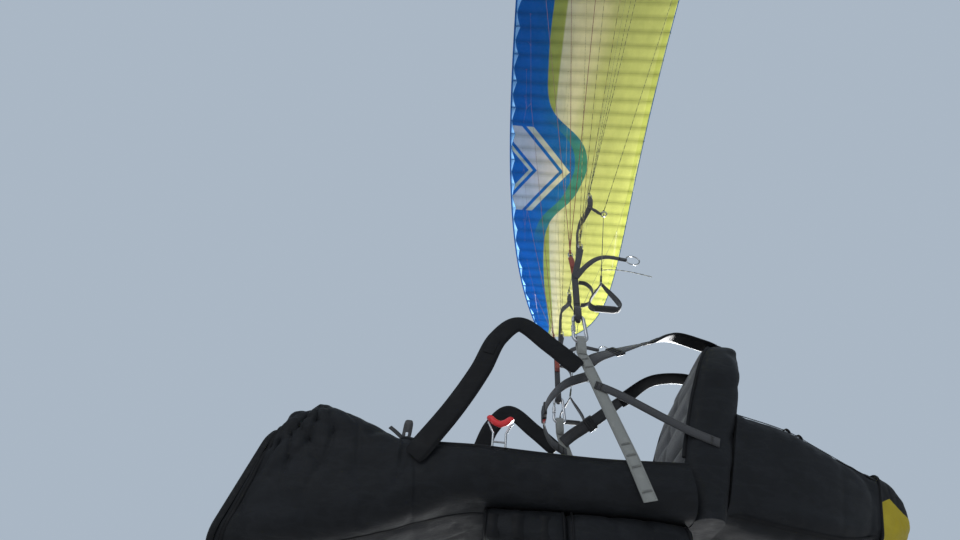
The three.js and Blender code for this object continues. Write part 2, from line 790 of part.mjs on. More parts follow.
function carabiner(side) {
  const { rod, topRadius, bottomRadius, length, sides } = CARABINER;
  const link = rodLoop(stadium(topRadius, bottomRadius, length), vec(0, 1, 0), rod, sides);
  return link.translate(0, side * HANG_SIDE, 0);
}

// The main strap: round the carabiner's lower arc, then down and back over the pod's side.
function mainStrap(side) {
  const y = side * HANG_SIDE;
  const strand = -CARABINER.length - STRAND_DROP;
  const { width, thick, half: h, shoulder, chamfer, neck, top, foot, seatEnd, bodyWidth } = MAIN_STRAP;
  const half = [[h, top + shoulder], [h, strand - chamfer], [h - chamfer + 1, strand]];
  const outline = [...half.map(([dy, z]) => [-dy, z]), ...half.reverse(), [neck, top], [-neck, top]];
  const loopPath = outline.map(([dy, z]) => vec(0, y + dy, z));
  const runs = [[0, top + neck], foot, seatEnd].map(([x, z]) => vec(x, y, z));
  return joined([
    webbing(loopPath, { across: vec(1, 0, 0) }, width, thick, true),
    webbing(runs, flatSide, bodyWidth, thick),
  ]);
}

// A strap between given points (x, y, z), with its flat side turned as the table says.
function strap(side, { points, faces, width, thick, steps }) {
  const path = smooth(points.map((p) => mirrored(p, side)), steps);
  const facing = new THREE.CatmullRomCurve3(faces.map((f) => mirrored(f, side)));
  const turned = path.map((_, i) => facing.getPoint(i / (path.length - 1)));
  return webbing(path, { face: turned }, width, thick);
}

function chestStrap() {
  const ends = CHEST.points.map((p) => mirrored(p, 1));
  const path = smooth([...ends, ...ends.slice(0, -1).reverse().map((p) => vec(p.x, -p.y, p.z))], 10);
  const [x, , z] = CHEST.points.at(-1);
  const buckle = new THREE.BoxGeometry(...CHEST.buckle).translate(x, 0, z);
  return joined([webbing(path, { across: vec(0, 0, 1) }, CHEST.width, CHEST.thick), buckle]);
}

function rescueHandle() {
  const { path, width, thick } = RESCUE_HANDLE;
  const arch = smooth(path.map(([x, z]) => vec(x, POD_HALF - POD_WALL / 2, z)), 8);
  return webbing(arch, { across: vec(0, 1, 0) }, width, thick);
}

function buildHarness() {
  const group = new THREE.Group();
  group.position.z = -HANG_DROP;
  for (const { side, suffix } of SIDES) {
    group.add(
      piece(`carabiner_${suffix}`, carabiner(side), METAL, 0.3, 1),
      piece(`main_strap_${suffix}`, mainStrap(side), GREY_WEB),
      piece(`back_strap_${suffix}`, strap(side, STRAPS.back), BLACK),
      piece(`cockpit_strap_${suffix}`, strap(side, STRAPS.cockpit), BLACK),
      piece(`shoulder_strap_${suffix}`, strap(side, STRAPS.shoulder), BLACK),
    );
  }
  group.add(
    piece("chest_strap", chestStrap(), BLACK),
    piece("pod_shell", podShell(), CHARCOAL),
    piece("foot_plate", footPlate(), BLACK),
    piece("seat", seat(), BLACK),
    piece("seat_protector", underFloor(...PROTECTOR.span, PROTECTOR.stations), CHARCOAL),
    piece("reserve_container", underFloor(...RESERVE.span, RESERVE.stations), CHARCOAL),
    piece("back_shell", backShell(), CHARCOAL),
    piece("tail", tail(), CHARCOAL),
    piece("tail_cap", tailCap(), YELLOW),
    piece("rescue_handle", rescueHandle(), RED, 0.6),
  );
  return group;
}

const glider = new THREE.Group();
glider.add(buildCanopy(), buildLines(), buildRisers(), buildBrakes(), buildHarness());

export default glider;
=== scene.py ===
"""A solo paraglider in flight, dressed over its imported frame.

Metres. +X is forward, +Y the flyer's left, +Z up. The origin lies on the canopy's root chord plane, and the
harness hangs 7.25 m below it on two carabiners.
"""
from __future__ import annotations

import logging
import math
from dataclasses import dataclass
from enum import Enum
from functools import lru_cache
from typing import Callable, Protocol, Sequence

import bpy
import numpy as np
from bpy.types import Material, MeshPolygon, NodeSocket, Object
from mathutils import Matrix, Vector
from mathutils.kdtree import KDTree


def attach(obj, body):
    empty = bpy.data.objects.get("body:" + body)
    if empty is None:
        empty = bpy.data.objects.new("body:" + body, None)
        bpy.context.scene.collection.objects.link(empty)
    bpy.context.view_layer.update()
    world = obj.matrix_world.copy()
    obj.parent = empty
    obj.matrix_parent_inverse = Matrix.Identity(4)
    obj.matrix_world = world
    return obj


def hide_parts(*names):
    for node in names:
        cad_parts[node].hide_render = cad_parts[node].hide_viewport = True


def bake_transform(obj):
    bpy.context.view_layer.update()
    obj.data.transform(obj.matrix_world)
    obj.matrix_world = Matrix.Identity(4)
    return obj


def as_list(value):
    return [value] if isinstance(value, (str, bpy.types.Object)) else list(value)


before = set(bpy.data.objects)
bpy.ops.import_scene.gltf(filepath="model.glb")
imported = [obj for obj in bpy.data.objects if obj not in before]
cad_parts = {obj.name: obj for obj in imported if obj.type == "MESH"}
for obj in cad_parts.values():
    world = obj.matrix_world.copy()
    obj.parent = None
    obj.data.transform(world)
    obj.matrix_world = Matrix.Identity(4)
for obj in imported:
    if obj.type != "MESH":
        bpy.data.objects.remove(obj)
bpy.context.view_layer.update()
LOG = logging.getLogger("paraglider")

Rows = np.ndarray
Colour = tuple[float, float, float]
Place = tuple[float, float, float]
RibGroups = tuple[tuple[tuple[int, ...], ...], ...]
HANG = np.array([0.0, 0.0, -7.25])
UP = np.array([0.0, 0.0, 1.0])
AHEAD = np.array([1.0, 0.0, 0.0])
LEFTWARD = np.array([0.0, 1.0, 0.0])
WEB_STITCH, STRAP_STITCH, CLOTH_STITCH = 0.0042, 0.0046, 0.0052
OFF_MIDDLE = 1e-9
SEAT_GAP = 0.0003
CARABINER_Y = 0.23
SIMULATED_FRAMES = 14
SLIDE_LIMIT = 0.002
SMOOTHING_ROUNDS = 6


class Side(Enum):
    """The flyer's left or right, with the sign that Y takes there."""

    LEFT = 1
    RIGHT = -1

    @property
    def suffix(self) -> str:
        """The ending that the frame's nodes carry on this side."""
        return self.name.lower()

    def hung(self, points: Sequence[Sequence[float]]) -> Rows:
        """Places given from the carabiners, moved to this side and into the frame."""
        return np.asarray(points, float) * (1, self.value, 1) + HANG


class Body(Enum):
    """The bodies that move apart."""

    WING = "wing"
    HARNESS = "harness"
    BRAKE_LEFT = "brake_left"
    BRAKE_RIGHT = "brake_right"

    @staticmethod
    def brake(side: Side) -> Body:
        """The brake handle's body on one side."""
        return Body.BRAKE_LEFT if side is Side.LEFT else Body.BRAKE_RIGHT


class Slot(Enum):
    """The record's material slots."""

    SAIL = "sail_cloth"
    RED_CORD = "red_cord"
    OLIVE_CORD = "olive_cord"
    DARK_CORD = "dark_cord"
    BLACK_WEB = "black_webbing"
    RED_WEB = "red_webbing"
    GREY_WEB = "grey_webbing"
    POD = "pod_cloth"
    LINING = "pod_lining"
    YELLOW = "yellow_cloth"
    STEEL = "bright_steel"
    ALLOY = "light_alloy"
    DARK_PLASTIC = "dark_plastic"
    RED_PLASTIC = "red_plastic"


# Curves and sections
def unit(vectors: Rows) -> Rows:
    """The same directions with a length of one."""
    return vectors / np.maximum(np.linalg.norm(vectors, axis=-1, keepdims=True), 1e-12)


def spline(points: Rows, steps: int) -> Rows:
    """A centripetal Catmull-Rom curve.

    Args:
        points: the places that it runs through.
        steps: how many pieces it is cut into.

    Returns:
        steps + 1 places along it.
    """
    p = np.asarray(points, float)
    p = np.vstack([2 * p[0] - p[1], p, 2 * p[-1] - p[-2]])
    span = len(p) - 3
    places = []
    for t in np.linspace(0, span, steps + 1):
        k = min(int(t), span - 1)
        w = t - k
        a, b, c, d = p[k : k + 4]
        before, here, after = (max(np.linalg.norm(v - u) ** 0.5, 1e-6) for u, v in ((a, b), (b, c), (c, d)))
        out = ((b - a) / before - (c - a) / (before + here) + (c - b) / here) * here
        into = ((c - b) / here - (d - b) / (here + after) + (d - c) / after) * here
        places.append(
            b + out * w + (3 * (c - b) - 2 * out - into) * w**2 + (2 * (b - c) + out + into) * w**3
        )
    return np.array(places)


def steady(knots: Sequence[float], values: Rows, at: Rows) -> Rows:
    """A smooth curve through values that never swings past them.

    Args:
        knots: rising places where the values are known.
        values: one row for each knot.
        at: the places asked for.

    Returns:
        One row for each place asked for.
    """
    x = np.asarray(knots, float)
    y = np.asarray(values, float).reshape(len(x), -1)
    step = np.diff(x)
    slope = np.diff(y, axis=0) / step[:, None]
    tangent = np.vstack([slope[:1], np.zeros((len(x) - 2, y.shape[1])), slope[-1:]])
    product = slope[:-1] * slope[1:]
    total = slope[:-1] + slope[1:]
    tangent[1:-1] = np.where(product > 0, 2 * product / np.where(total == 0, 1, total), 0)
    k = np.clip(np.searchsorted(x, at, side="right") - 1, 0, len(x) - 2)
    h = step[k][:, None]
    t = (np.asarray(at, float) - x[k])[:, None] / h
    held = (1 + 2 * t) * (1 - t) ** 2 * y[k] + t**2 * (3 - 2 * t) * y[k + 1]
    return held + t * (1 - t) ** 2 * h * tangent[k] + t**2 * (t - 1) * h * tangent[k + 1]


def headings(path: Rows, closed: bool = False) -> Rows:
    """The direction of a path at each of its places."""
    if closed:
        return unit(np.roll(path, -1, 0) - np.roll(path, 1, 0))
    return unit(np.vstack([path[1:2] - path[:1], path[2:] - path[:-2], path[-1:] - path[-2:-1]]))


def frames(path: Rows, face: Rows, closed: bool = False) -> tuple[Rows, Rows, Rows]:
    """The directions along a strap, out of its flat side and across it, at each place of its middle line."""
    ahead = headings(path, closed)
    face = np.broadcast_to(np.asarray(face, float), path.shape)
    out = unit(face - ahead * np.sum(face * ahead, -1, keepdims=True))
    return ahead, out, np.cross(ahead, out)


def run_lengths(path: Rows) -> Rows:
    """How far along a path each of its places lies."""
    return np.concatenate([[0.0], np.cumsum(np.linalg.norm(np.diff(path, axis=0), axis=1))])


def along(path: Rows, distances: Rows) -> Rows:
    """The places at given distances along a path."""
    run = run_lengths(path)
    return np.stack([np.interp(distances, run, path[:, k]) for k in range(path.shape[1])], -1)


def band_rows(
    path: Rows, face: Rows, width: float | Rows, thick: float, closed: bool = False
) -> tuple[Rows, Rows]:
    """Flat webbing with rounded edges.

    Args:
        path: its middle line.
        face: the direction of its flat side, one for all places or one for each.
        width: across the flat side.
        thick: through it.
        closed: whether its end meets its start.

    Returns:
        Rows of points round it and their texture places, across and along in metres.
    """
    _, out, side = frames(path, face, closed)
    half = np.broadcast_to(np.asarray(width, float) / 2, (len(path),))[:, None]
    edge = min(thick * 0.45, float(half.min()) * 0.5)
    quarter = [(1.0, 0.0, 0.0), (1.0, -0.3, 0.7), (1.0, -1.0, 1.0), (0.0, 0.0, 1.0)]
    turns = [(1, 1), (-1, 1), (-1, -1), (1, -1)]
    corners = []
    for k, (across, through) in enumerate(turns):
        part = quarter[:3] if k % 2 == 0 else quarter[:3][::-1]
        corners += [(c * across, i * across, t * through) for c, i, t in part]
        if k in (0, 2):
            corners.append((0.0, 0.0, float(through)))
    corners = [c for k, c in enumerate(corners) if c not in corners[:k]]
    corners.append(corners[0])
    c, i, t = (np.array(column) for column in zip(*corners))
    across = c * half + i * edge
    rows = path[:, None] + side[:, None] * across[..., None] + out[:, None] * (t * thick / 2)[None, :, None]
    run = run_lengths(path)
    texture = np.stack([across, np.broadcast_to(run[:, None], across.shape)], -1)
    if closed:
        last = np.linalg.norm(path[0] - path[-1])
        rows = np.concatenate([rows, rows[:1]])
        texture = np.concatenate([texture, texture[:1] + (0, run[-1] + last)])
    return rows, texture


def tube_rows(path: Rows, radius: float | Rows, sides: int = 6) -> tuple[Rows, Rows]:
    """A round cord.

    Args:
        path: its middle line.
        radius: one for all places or one for each.
        sides: of its section.

    Returns:
        Rows of points round it and their texture places: turns round it and metres along.
    """
    ahead = headings(path)
    seed = UP if abs(ahead[0][2]) < 0.9 else AHEAD
    out = unit(np.cross(ahead[0], seed))
    outs = []
    for direction in ahead:
        out = unit(out - direction * (out @ direction))
        outs.append(out)
    outs = np.array(outs)
    side = np.cross(ahead, outs)
    turn = np.linspace(0, 2 * math.pi, sides + 1)
    reach = np.broadcast_to(np.asarray(radius, float), (len(path),))[:, None, None]
    rows = path[:, None] + reach * (
        outs[:, None] * np.cos(turn)[:, None] + side[:, None] * np.sin(turn)[:, None]
    )
    run = np.broadcast_to(run_lengths(path)[:, None], rows.shape[:2])
    return rows, np.stack([np.broadcast_to(turn / (2 * math.pi), run.shape), run], -1)


def flat_ring(steps: int, power: float) -> tuple[Rows, Rows]:
    """The places round a flattened ring, across and through it, from -1 to 1."""
    turn = np.linspace(0, 2 * math.pi, steps)
    across, through = np.cos(turn), np.sin(turn)
    return np.sign(across) * np.abs(across) ** 0.5, np.sign(through) * np.abs(through) ** power


def pad_rows(path: Rows, out: Rows, over: Rows, across: Rows, through: Rows) -> tuple[Rows, Rows]:
    """A pad whose section changes along a path.

    Args:
        path: its middle line.
        out: the direction of its flat side at each place.
        over: the direction across it at each place.
        across: how far each point of each section lies across.
        through: how far it lies out.

    Returns:
        Rows of points round it and their texture places, across and along in metres.
    """
    rows = path[:, None] + over[:, None] * across[..., None] + out[:, None] * through[..., None]
    run = np.broadcast_to(run_lengths(path)[:, None], across.shape)
    return rows, np.stack([np.broadcast_to(across[len(path) // 2], across.shape), run], -1)


class Heap:
    """Gathers surfaces, cords and copies that become one mesh."""

    def __init__(self) -> None:
        """Starts empty."""
        self.points: list[Rows] = []
        self.faces: list[list[int]] = []
        self.texture: list[Rows] = []
        self.tags: list[int] = []
        self.count = 0

    def add(self, points: Rows, faces: list[list[int]], corners: list[Rows], tag: int) -> None:
        """Adds faces with the texture place of each of their corners."""
        self.points.append(points)
        self.faces += [[k + self.count for k in face] for face in faces]
        self.texture += corners
        self.tags += [tag] * len(faces)
        self.count += len(points)

    def grid(self, rows: Rows, texture: Rows, caps: bool = False, tag: int = 0) -> Heap:
        """Adds a surface through rows of points.

        Args:
            rows: the points, row by row.
            texture: their texture places.
            caps: whether the first and last rows are filled.
            tag: which of the piece's finishes it is meant for.

        Returns:
            The heap itself.
        """
        count, across = rows.shape[:2]
        index = np.arange(count * across).reshape(count, across)
        quads = np.stack([index[:-1, :-1], index[:-1, 1:], index[1:, 1:], index[1:, :-1]], -1)
        faces = quads.reshape(-1, 4).tolist()
        if caps:
            faces += [index[0, :-1][::-1].tolist(), index[-1, :-1].tolist()]
        flat = texture.reshape(-1, 2)
        self.add(rows.reshape(-1, 3), faces, [flat[face] for face in faces], tag)
        return self

    def band(
        self, path: Rows, face: Rows, width: float | Rows, thick: float, closed: bool = False, tag: int = 0
    ) -> Heap:
        """Adds a strap along a path."""
        rows, texture = band_rows(path, face, width, thick, closed)
        return self.grid(rows, texture, caps=not closed, tag=tag)

    def tube(self, path: Rows, radius: float | Rows, sides: int = 6, tag: int = 0) -> Heap:
        """Adds a round cord along a path."""
        rows, texture = tube_rows(path, radius, sides)
        return self.grid(rows, texture, caps=True, tag=tag)

    def copies(self, template: Heap, places: Sequence[Matrix], tag: int = 0) -> Heap:
        """Adds a small shape once for each place."""
        points = np.vstack(template.points)
        for place in places:
            m = np.array(place)
            self.add(points @ m[:3, :3].T + m[:3, 3], template.faces, template.texture, tag)
        return self

    def sew(self, thread: Sequence[Matrix]) -> Heap:
        """Adds stitches, tagged for the piece's second finish."""
        return self.copies(stitch_shape(), thread, tag=1)

    def build(self, name: str, closed: bool = True) -> Object:
        """Makes the mesh.

        Args:
            name: of the new piece.
            closed: whether it is made of closed shapes, whose faces are then turned outwards.

        Returns:
            The piece, at the origin.
        """
        mesh = bpy.data.meshes.new(name)
        mesh.from_pydata(np.vstack(self.points).tolist(), [], self.faces)
        mesh.uv_layers.new(name="UVMap").data.foreach_set("uv", np.vstack(self.texture).ravel())
        mesh.polygons.foreach_set("material_index", self.tags)
        piece = bpy.data.objects.new(name, mesh)
        bpy.context.collection.objects.link(piece)
        select_only(piece)
        bpy.ops.object.mode_set(mode="EDIT")
        bpy.ops.mesh.select_all(action="SELECT")
        bpy.ops.mesh.remove_doubles(threshold=1e-6)
        if closed:
            bpy.ops.mesh.normals_make_consistent(inside=False)
        bpy.ops.object.mode_set(mode="OBJECT")
        return piece

    def make(
        self,
        name: str,
        finishes: Sequence[Finish],
        body: Body,
        slot: Slot,
        nodes: Sequence[str] = (),
        smooth: float = 40.0,
    ) -> Object:
        """Makes the mesh of closed shapes, dresses it and hangs it on its body."""
        return finish_piece(self.build(name), finishes, body, slot, nodes, smooth)


def select_only(piece: Object) -> None:
    """Makes one object the only selected and the active one."""
    for other in bpy.context.selected_objects:
        other.select_set(False)
    piece.select_set(True)
    bpy.context.view_layer.objects.active = piece


def frame_at(place: Rows, ahead: Rows, out: Rows, scale: float = 1.0) -> Matrix:
    """A placement whose X runs ahead and whose Z points out."""
    x = unit(ahead)
    z = unit(out - x * (out @ x))
    columns = np.stack([x * scale, np.cross(z, x) * scale, z * scale, place], -1)
    return Matrix(np.vstack([columns, [0, 0, 0, 1]]).tolist())


@lru_cache
def stitch_shape() -> Heap:
    """One stitch a unit long: a flat bead of thread with pointed ends."""
    path = np.array([[-0.5, 0, 0], [-0.3, 0, 0.12], [0.3, 0, 0.12], [0.5, 0, 0]])
    rows, texture = tube_rows(path, np.array([0.05, 0.16, 0.16, 0.05]), 4)
    return Heap().grid(rows, texture, caps=True)


def stitches(path: Rows, face: Rows, pitch: float = 0.005, fill: float = 0.68) -> list[Matrix]:
    """A row of stitches.

    Args:
        path: the line that it follows, on the cloth's surface.
        face: the direction that the cloth faces, one for all places or one for each.
        pitch: from stitch to stitch.
        fill: the share of the pitch that a stitch takes.

    Returns:
        The placement of each stitch.
    """
    total = run_lengths(path)[-1]
    distances = np.arange(pitch / 2, total, pitch)
    places = along(path, distances)
    ahead = along(headings(path), distances) if len(path) == 2 else headings(places)
    faces = np.broadcast_to(np.asarray(face, float), path.shape)
    outs = np.stack([np.interp(distances, run_lengths(path), faces[:, k]) for k in range(3)], -1)
    return [frame_at(p, a, o, pitch * fill) for p, a, o in zip(places, ahead, outs)]


def stitch_pair(path: Rows, over: Rows, out: Rows, reach: float, lift: float, pitch: float) -> list[Matrix]:
    """Two rows of stitches, one on each side of a middle line.

    Args:
        path: the middle line.
        over: the direction across it.
        out: the direction that the cloth faces.
        reach: from the middle line to each row.
        lift: how far the rows lie out from it.
        pitch: from stitch to stitch.

    Returns:
        The placement of each stitch.
    """
    return [m for sign in (1, -1) for m in stitches(path + over * (sign * reach) + out * lift, out, pitch)]


class Finish(Protocol):
    """Whatever can dress a piece."""

    def material(self) -> Material:
        """Its material, made once."""


def finish_piece(
    piece: Object,
    finishes: Sequence[Finish],
    body: Body,
    slot: Slot,
    nodes: Sequence[str] = (),
    smooth: float = 40.0,
) -> Object:
    """Dresses a piece and hangs it on its body.

    Args:
        piece: the modelled object.
        finishes: every face takes the first, whatever its tag; with none it keeps its own materials.
        body: what it moves with.
        slot: not used.
        nodes: the frame's nodes that it stands for.
        smooth: edges sharper than this many degrees stay sharp.

    Returns:
        The piece.
    """
    if finishes:
        piece.data.materials.clear()
        for finish in finishes:
            piece.data.materials.append(finish.material())
    select_only(piece)
    bpy.ops.object.shade_smooth_by_angle(angle=math.radians(smooth))
    if nodes:
        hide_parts(*nodes)
    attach(piece, body.value)
    LOG.info("%s: %d faces on %s", piece.name, len(piece.data.polygons), body.value)
    return piece


@dataclass(frozen=True)
class Air:
    """How cloth is blown out: pressure, the share that it is too wide, how far round a held point it is held
    too, and the furthest that it moves outwards and inwards."""

    pressure: float
    slack: float
    near: float
    out: float
    inward: float


def billow(piece: Object, held: Rows, air: Air) -> None:
    """Lets the air push slack cloth into creases between the places where it is sewn or pressed down.

    Args:
        piece: the modelled cloth.
        held: points where it can't move.
        air: what blows it out.
    """
    held = held.reshape(-1, 3)
    tree = KDTree(len(held))
    for k, place in enumerate(held):
        tree.insert(place, k)
    tree.balance()
    rest = np.array([v.co for v in piece.data.vertices])
    normals = np.array([v.normal for v in piece.data.vertices])
    sewn = piece.vertex_groups.new(name="sewn")
    free = np.ones((len(rest), 1))
    for k, place in enumerate(rest):
        distance = tree.find(place)[2]
        if distance < 2 * air.near:
            weight = min(1.0, 2 - distance / air.near)
            sewn.add([k], weight, "REPLACE")
            free[k] = 1 - weight
    cloth = piece.modifiers.new("air", "CLOTH")
    settings = cloth.settings
    settings.quality, settings.mass = 5, 0.25
    settings.tension_stiffness = settings.compression_stiffness = 12.0
    settings.shear_stiffness, settings.bending_stiffness = 5.0, 0.3
    settings.vertex_group_mass = sewn.name
    settings.use_pressure, settings.uniform_pressure_force = True, air.pressure
    settings.shrink_min = -air.slack
    settings.effector_weights.gravity = 0.0
    scene = bpy.context.scene
    cloth.point_cache.frame_end = SIMULATED_FRAMES
    for step in range(1, SIMULATED_FRAMES + 1):
        scene.frame_set(step)
    blown = piece.evaluated_get(bpy.context.evaluated_depsgraph_get()).data
    shift = np.array([v.co for v in blown.vertices]) - rest
    piece.modifiers.remove(cloth)
    piece.vertex_groups.remove(sewn)
    scene.frame_set(1)
    ends = np.array([edge.vertices for edge in piece.data.edges]).T
    beside = np.bincount(ends.ravel(), minlength=len(rest))[:, None]
    for _ in range(SMOOTHING_ROUNDS):
        total = np.zeros_like(shift)
        np.add.at(total, ends[0], shift[ends[1]])
        np.add.at(total, ends[1], shift[ends[0]])
        shift = (shift + total / np.maximum(beside, 1)) / 2
    shift *= free
    rise = np.sum(shift * normals, axis=1, keepdims=True)
    aside = shift - normals * rise
    limit = np.where(rise > 0, air.out, air.inward)
    away = np.linalg.norm(aside, axis=1, keepdims=True) + 1e-9
    aside *= np.tanh(away / SLIDE_LIMIT) * SLIDE_LIMIT / away
    piece.data.vertices.foreach_set("co", (rest + normals * limit * np.tanh(rise / limit) + aside).ravel())
    piece.data.update()
    LOG.info("%s blown out: %.1f to %.1f mm", piece.name, 1000 * rise.min(), 1000 * rise.max())


# Material nodes
Value = float | tuple | NodeSocket


class Graph:
    """One material's nodes, made by calls that read like a formula."""

    def __init__(self, name: str) -> None:
        """Starts a material with its Principled shader."""
        self.material = bpy.data.materials.new(name)
        self.material.use_nodes = True
        self.tree = self.material.node_tree
        self.shader = self.tree.nodes["Principled BSDF"]

    def feed(self, socket: NodeSocket, value: Value) -> None:
        """Links a socket, or sets its plain value."""
        if isinstance(value, NodeSocket):
            self.tree.links.new(value, socket)
        elif socket.type == "RGBA":
            socket.default_value = (*value[:3], 1.0)
        else:
            socket.default_value = value

    def surface(self) -> NodeSocket:
        """The piece's own texture places."""
        return self.tree.nodes.new("ShaderNodeTexCoord").outputs["UV"]

    def solid(self) -> NodeSocket:
        """The piece's own coordinates, in metres."""
        return self.tree.nodes.new("ShaderNodeTexCoord").outputs["Object"]

    def split(self, vector: Value) -> tuple[NodeSocket, ...]:
        """The X, Y and Z of a vector."""
        node = self.tree.nodes.new("ShaderNodeSeparateXYZ")
        self.feed(node.inputs[0], vector)
        return tuple(node.outputs)

    def join(self, x: Value, y: Value, z: Value = 0.0) -> NodeSocket:
        """A vector of three values."""
        node = self.tree.nodes.new("ShaderNodeCombineXYZ")
        for socket, value in zip(node.inputs, (x, y, z)):
            self.feed(socket, value)
        return node.outputs[0]

    def math(self, operation: str, *values: Value) -> NodeSocket:
        """The result of one Math node."""
        node = self.tree.nodes.new("ShaderNodeMath")
        node.operation = operation
        for socket, value in zip(node.inputs, values):
            self.feed(socket, value)
        return node.outputs[0]

    def times(self, a: Value, b: Value) -> NodeSocket:
        """The product of two values."""
        return self.math("MULTIPLY", a, b)

    def plus(self, a: Value, b: Value) -> NodeSocket:
        """The sum of two values."""
        return self.math("ADD", a, b)

    def minus(self, a: Value, b: Value) -> NodeSocket:
        """The first value less the second."""
        return self.math("SUBTRACT", a, b)

    def stretched(self, vector: Value, scale: tuple[float, float, float], turn: float = 0.0) -> NodeSocket:
        """A vector scaled, and turned about Z by an angle in degrees."""
        node = self.tree.nodes.new("ShaderNodeMapping")
        self.feed(node.inputs["Vector"], vector)
        node.inputs["Scale"].default_value = scale
        node.inputs["Rotation"].default_value = (0, 0, math.radians(turn))
        return node.outputs[0]

    def noise(self, vector: Value, scale: float, detail: float = 2.0, rough: float = 0.5) -> NodeSocket:
        """Soft noise from 0 to 1."""
        node = self.tree.nodes.new("ShaderNodeTexNoise")
        self.feed(node.inputs["Vector"], vector)
        node.inputs["Scale"].default_value = scale
        node.inputs["Detail"].default_value = detail
        node.inputs["Roughness"].default_value = rough
        return node.outputs["Fac"]

    def between(
        self, value: Value, low: Value, high: Value, to_low: Value = 0.0, to_high: Value = 1.0
    ) -> NodeSocket:
        """A value moved smoothly from one range to another, and held inside it."""
        node = self.tree.nodes.new("ShaderNodeMapRange")
        node.interpolation_type = "SMOOTHSTEP"
        names = ("Value", "From Min", "From Max", "To Min", "To Max")
        for name, given in zip(names, (value, low, high, to_low, to_high)):
            self.feed(node.inputs[name], given)
        return node.outputs[0]

    def blend(self, share: Value, a: Value, b: Value, mode: str = "MIX") -> NodeSocket:
        """Two colours mixed."""
        node = self.tree.nodes.new("ShaderNodeMix")
        node.data_type = "RGBA"
        node.blend_type = mode
        self.feed(node.inputs[0], share)
        self.feed(node.inputs[6], a)
        self.feed(node.inputs[7], b)
        return node.outputs[2]

    def curve(self, value: Value, points: Sequence[tuple[float, float]]) -> NodeSocket:
        """A smooth curve drawn through points from 0 to 1."""
        node = self.tree.nodes.new("ShaderNodeFloatCurve")
        line = node.mapping.curves[0]
        line.points[0].location = points[0]
        line.points[1].location = points[-1]
        for place in points[1:-1]:
            line.points.new(*place)
        node.mapping.update()
        self.feed(node.inputs["Value"], value)
        return node.outputs[0]

    def comb(self, value: Value, pitch: float, fill: float) -> NodeSocket:
        """Narrow stripes: 1 on a line, 0 between.

        Args:
            value: what runs across the stripes.
            pitch: from line to line.
            fill: the share of the pitch that a line takes.

        Returns:
            The stripes' mask.
        """
        share = self.math("FRACT", self.math("DIVIDE", value, pitch))
        off = self.math("ABSOLUTE", self.minus(share, 0.5))
        return self.between(off, 0.5 - fill * 0.5, 0.5 - fill * 0.2)

    def bump(self, height: Value, strength: float, distance: float) -> None:
        """Raises the surface by a height from 0 to 1 times a distance in metres."""
        node = self.tree.nodes.new("ShaderNodeBump")
        node.inputs["Strength"].default_value = strength
        node.inputs["Distance"].default_value = distance
        self.feed(node.inputs["Height"], height)
        self.tree.links.new(node.outputs[0], self.shader.inputs["Normal"])

    def dress(
        self, colour: Value, roughness: Value = 0.7, metallic: float = 0.0, **sockets: Value
    ) -> Material:
        """Sets the shader and returns the material; further sockets are named with _ for a space."""
        self.feed(self.shader.inputs["Base Color"], colour)
        self.feed(self.shader.inputs["Roughness"], roughness)
        self.shader.inputs["Metallic"].default_value = metallic
        for name, value in sockets.items():
            self.feed(self.shader.inputs[name.replace("_", " ")], value)
        return self.material

    def let_light_through(self, colour: Value, share: float) -> None:
        """Mixes in light that shines through the cloth."""
        through = self.tree.nodes.new("ShaderNodeBsdfTranslucent")
        self.feed(through.inputs["Color"], colour)
        mix = self.tree.nodes.new("ShaderNodeMixShader")
        mix.inputs[0].default_value = share
        self.tree.links.new(self.shader.outputs[0], mix.inputs[1])
        self.tree.links.new(through.outputs[0], mix.inputs[2])
        output = next(node for node in self.tree.nodes if node.type == "OUTPUT_MATERIAL")
        self.tree.links.new(mix.outputs[0], output.inputs["Surface"])


# Finishes
class SailSheet(Enum):
    """The wing's cloths, each with its own print."""

    UPPER = "upper"
    LOWER = "lower"
    RIB = "rib"


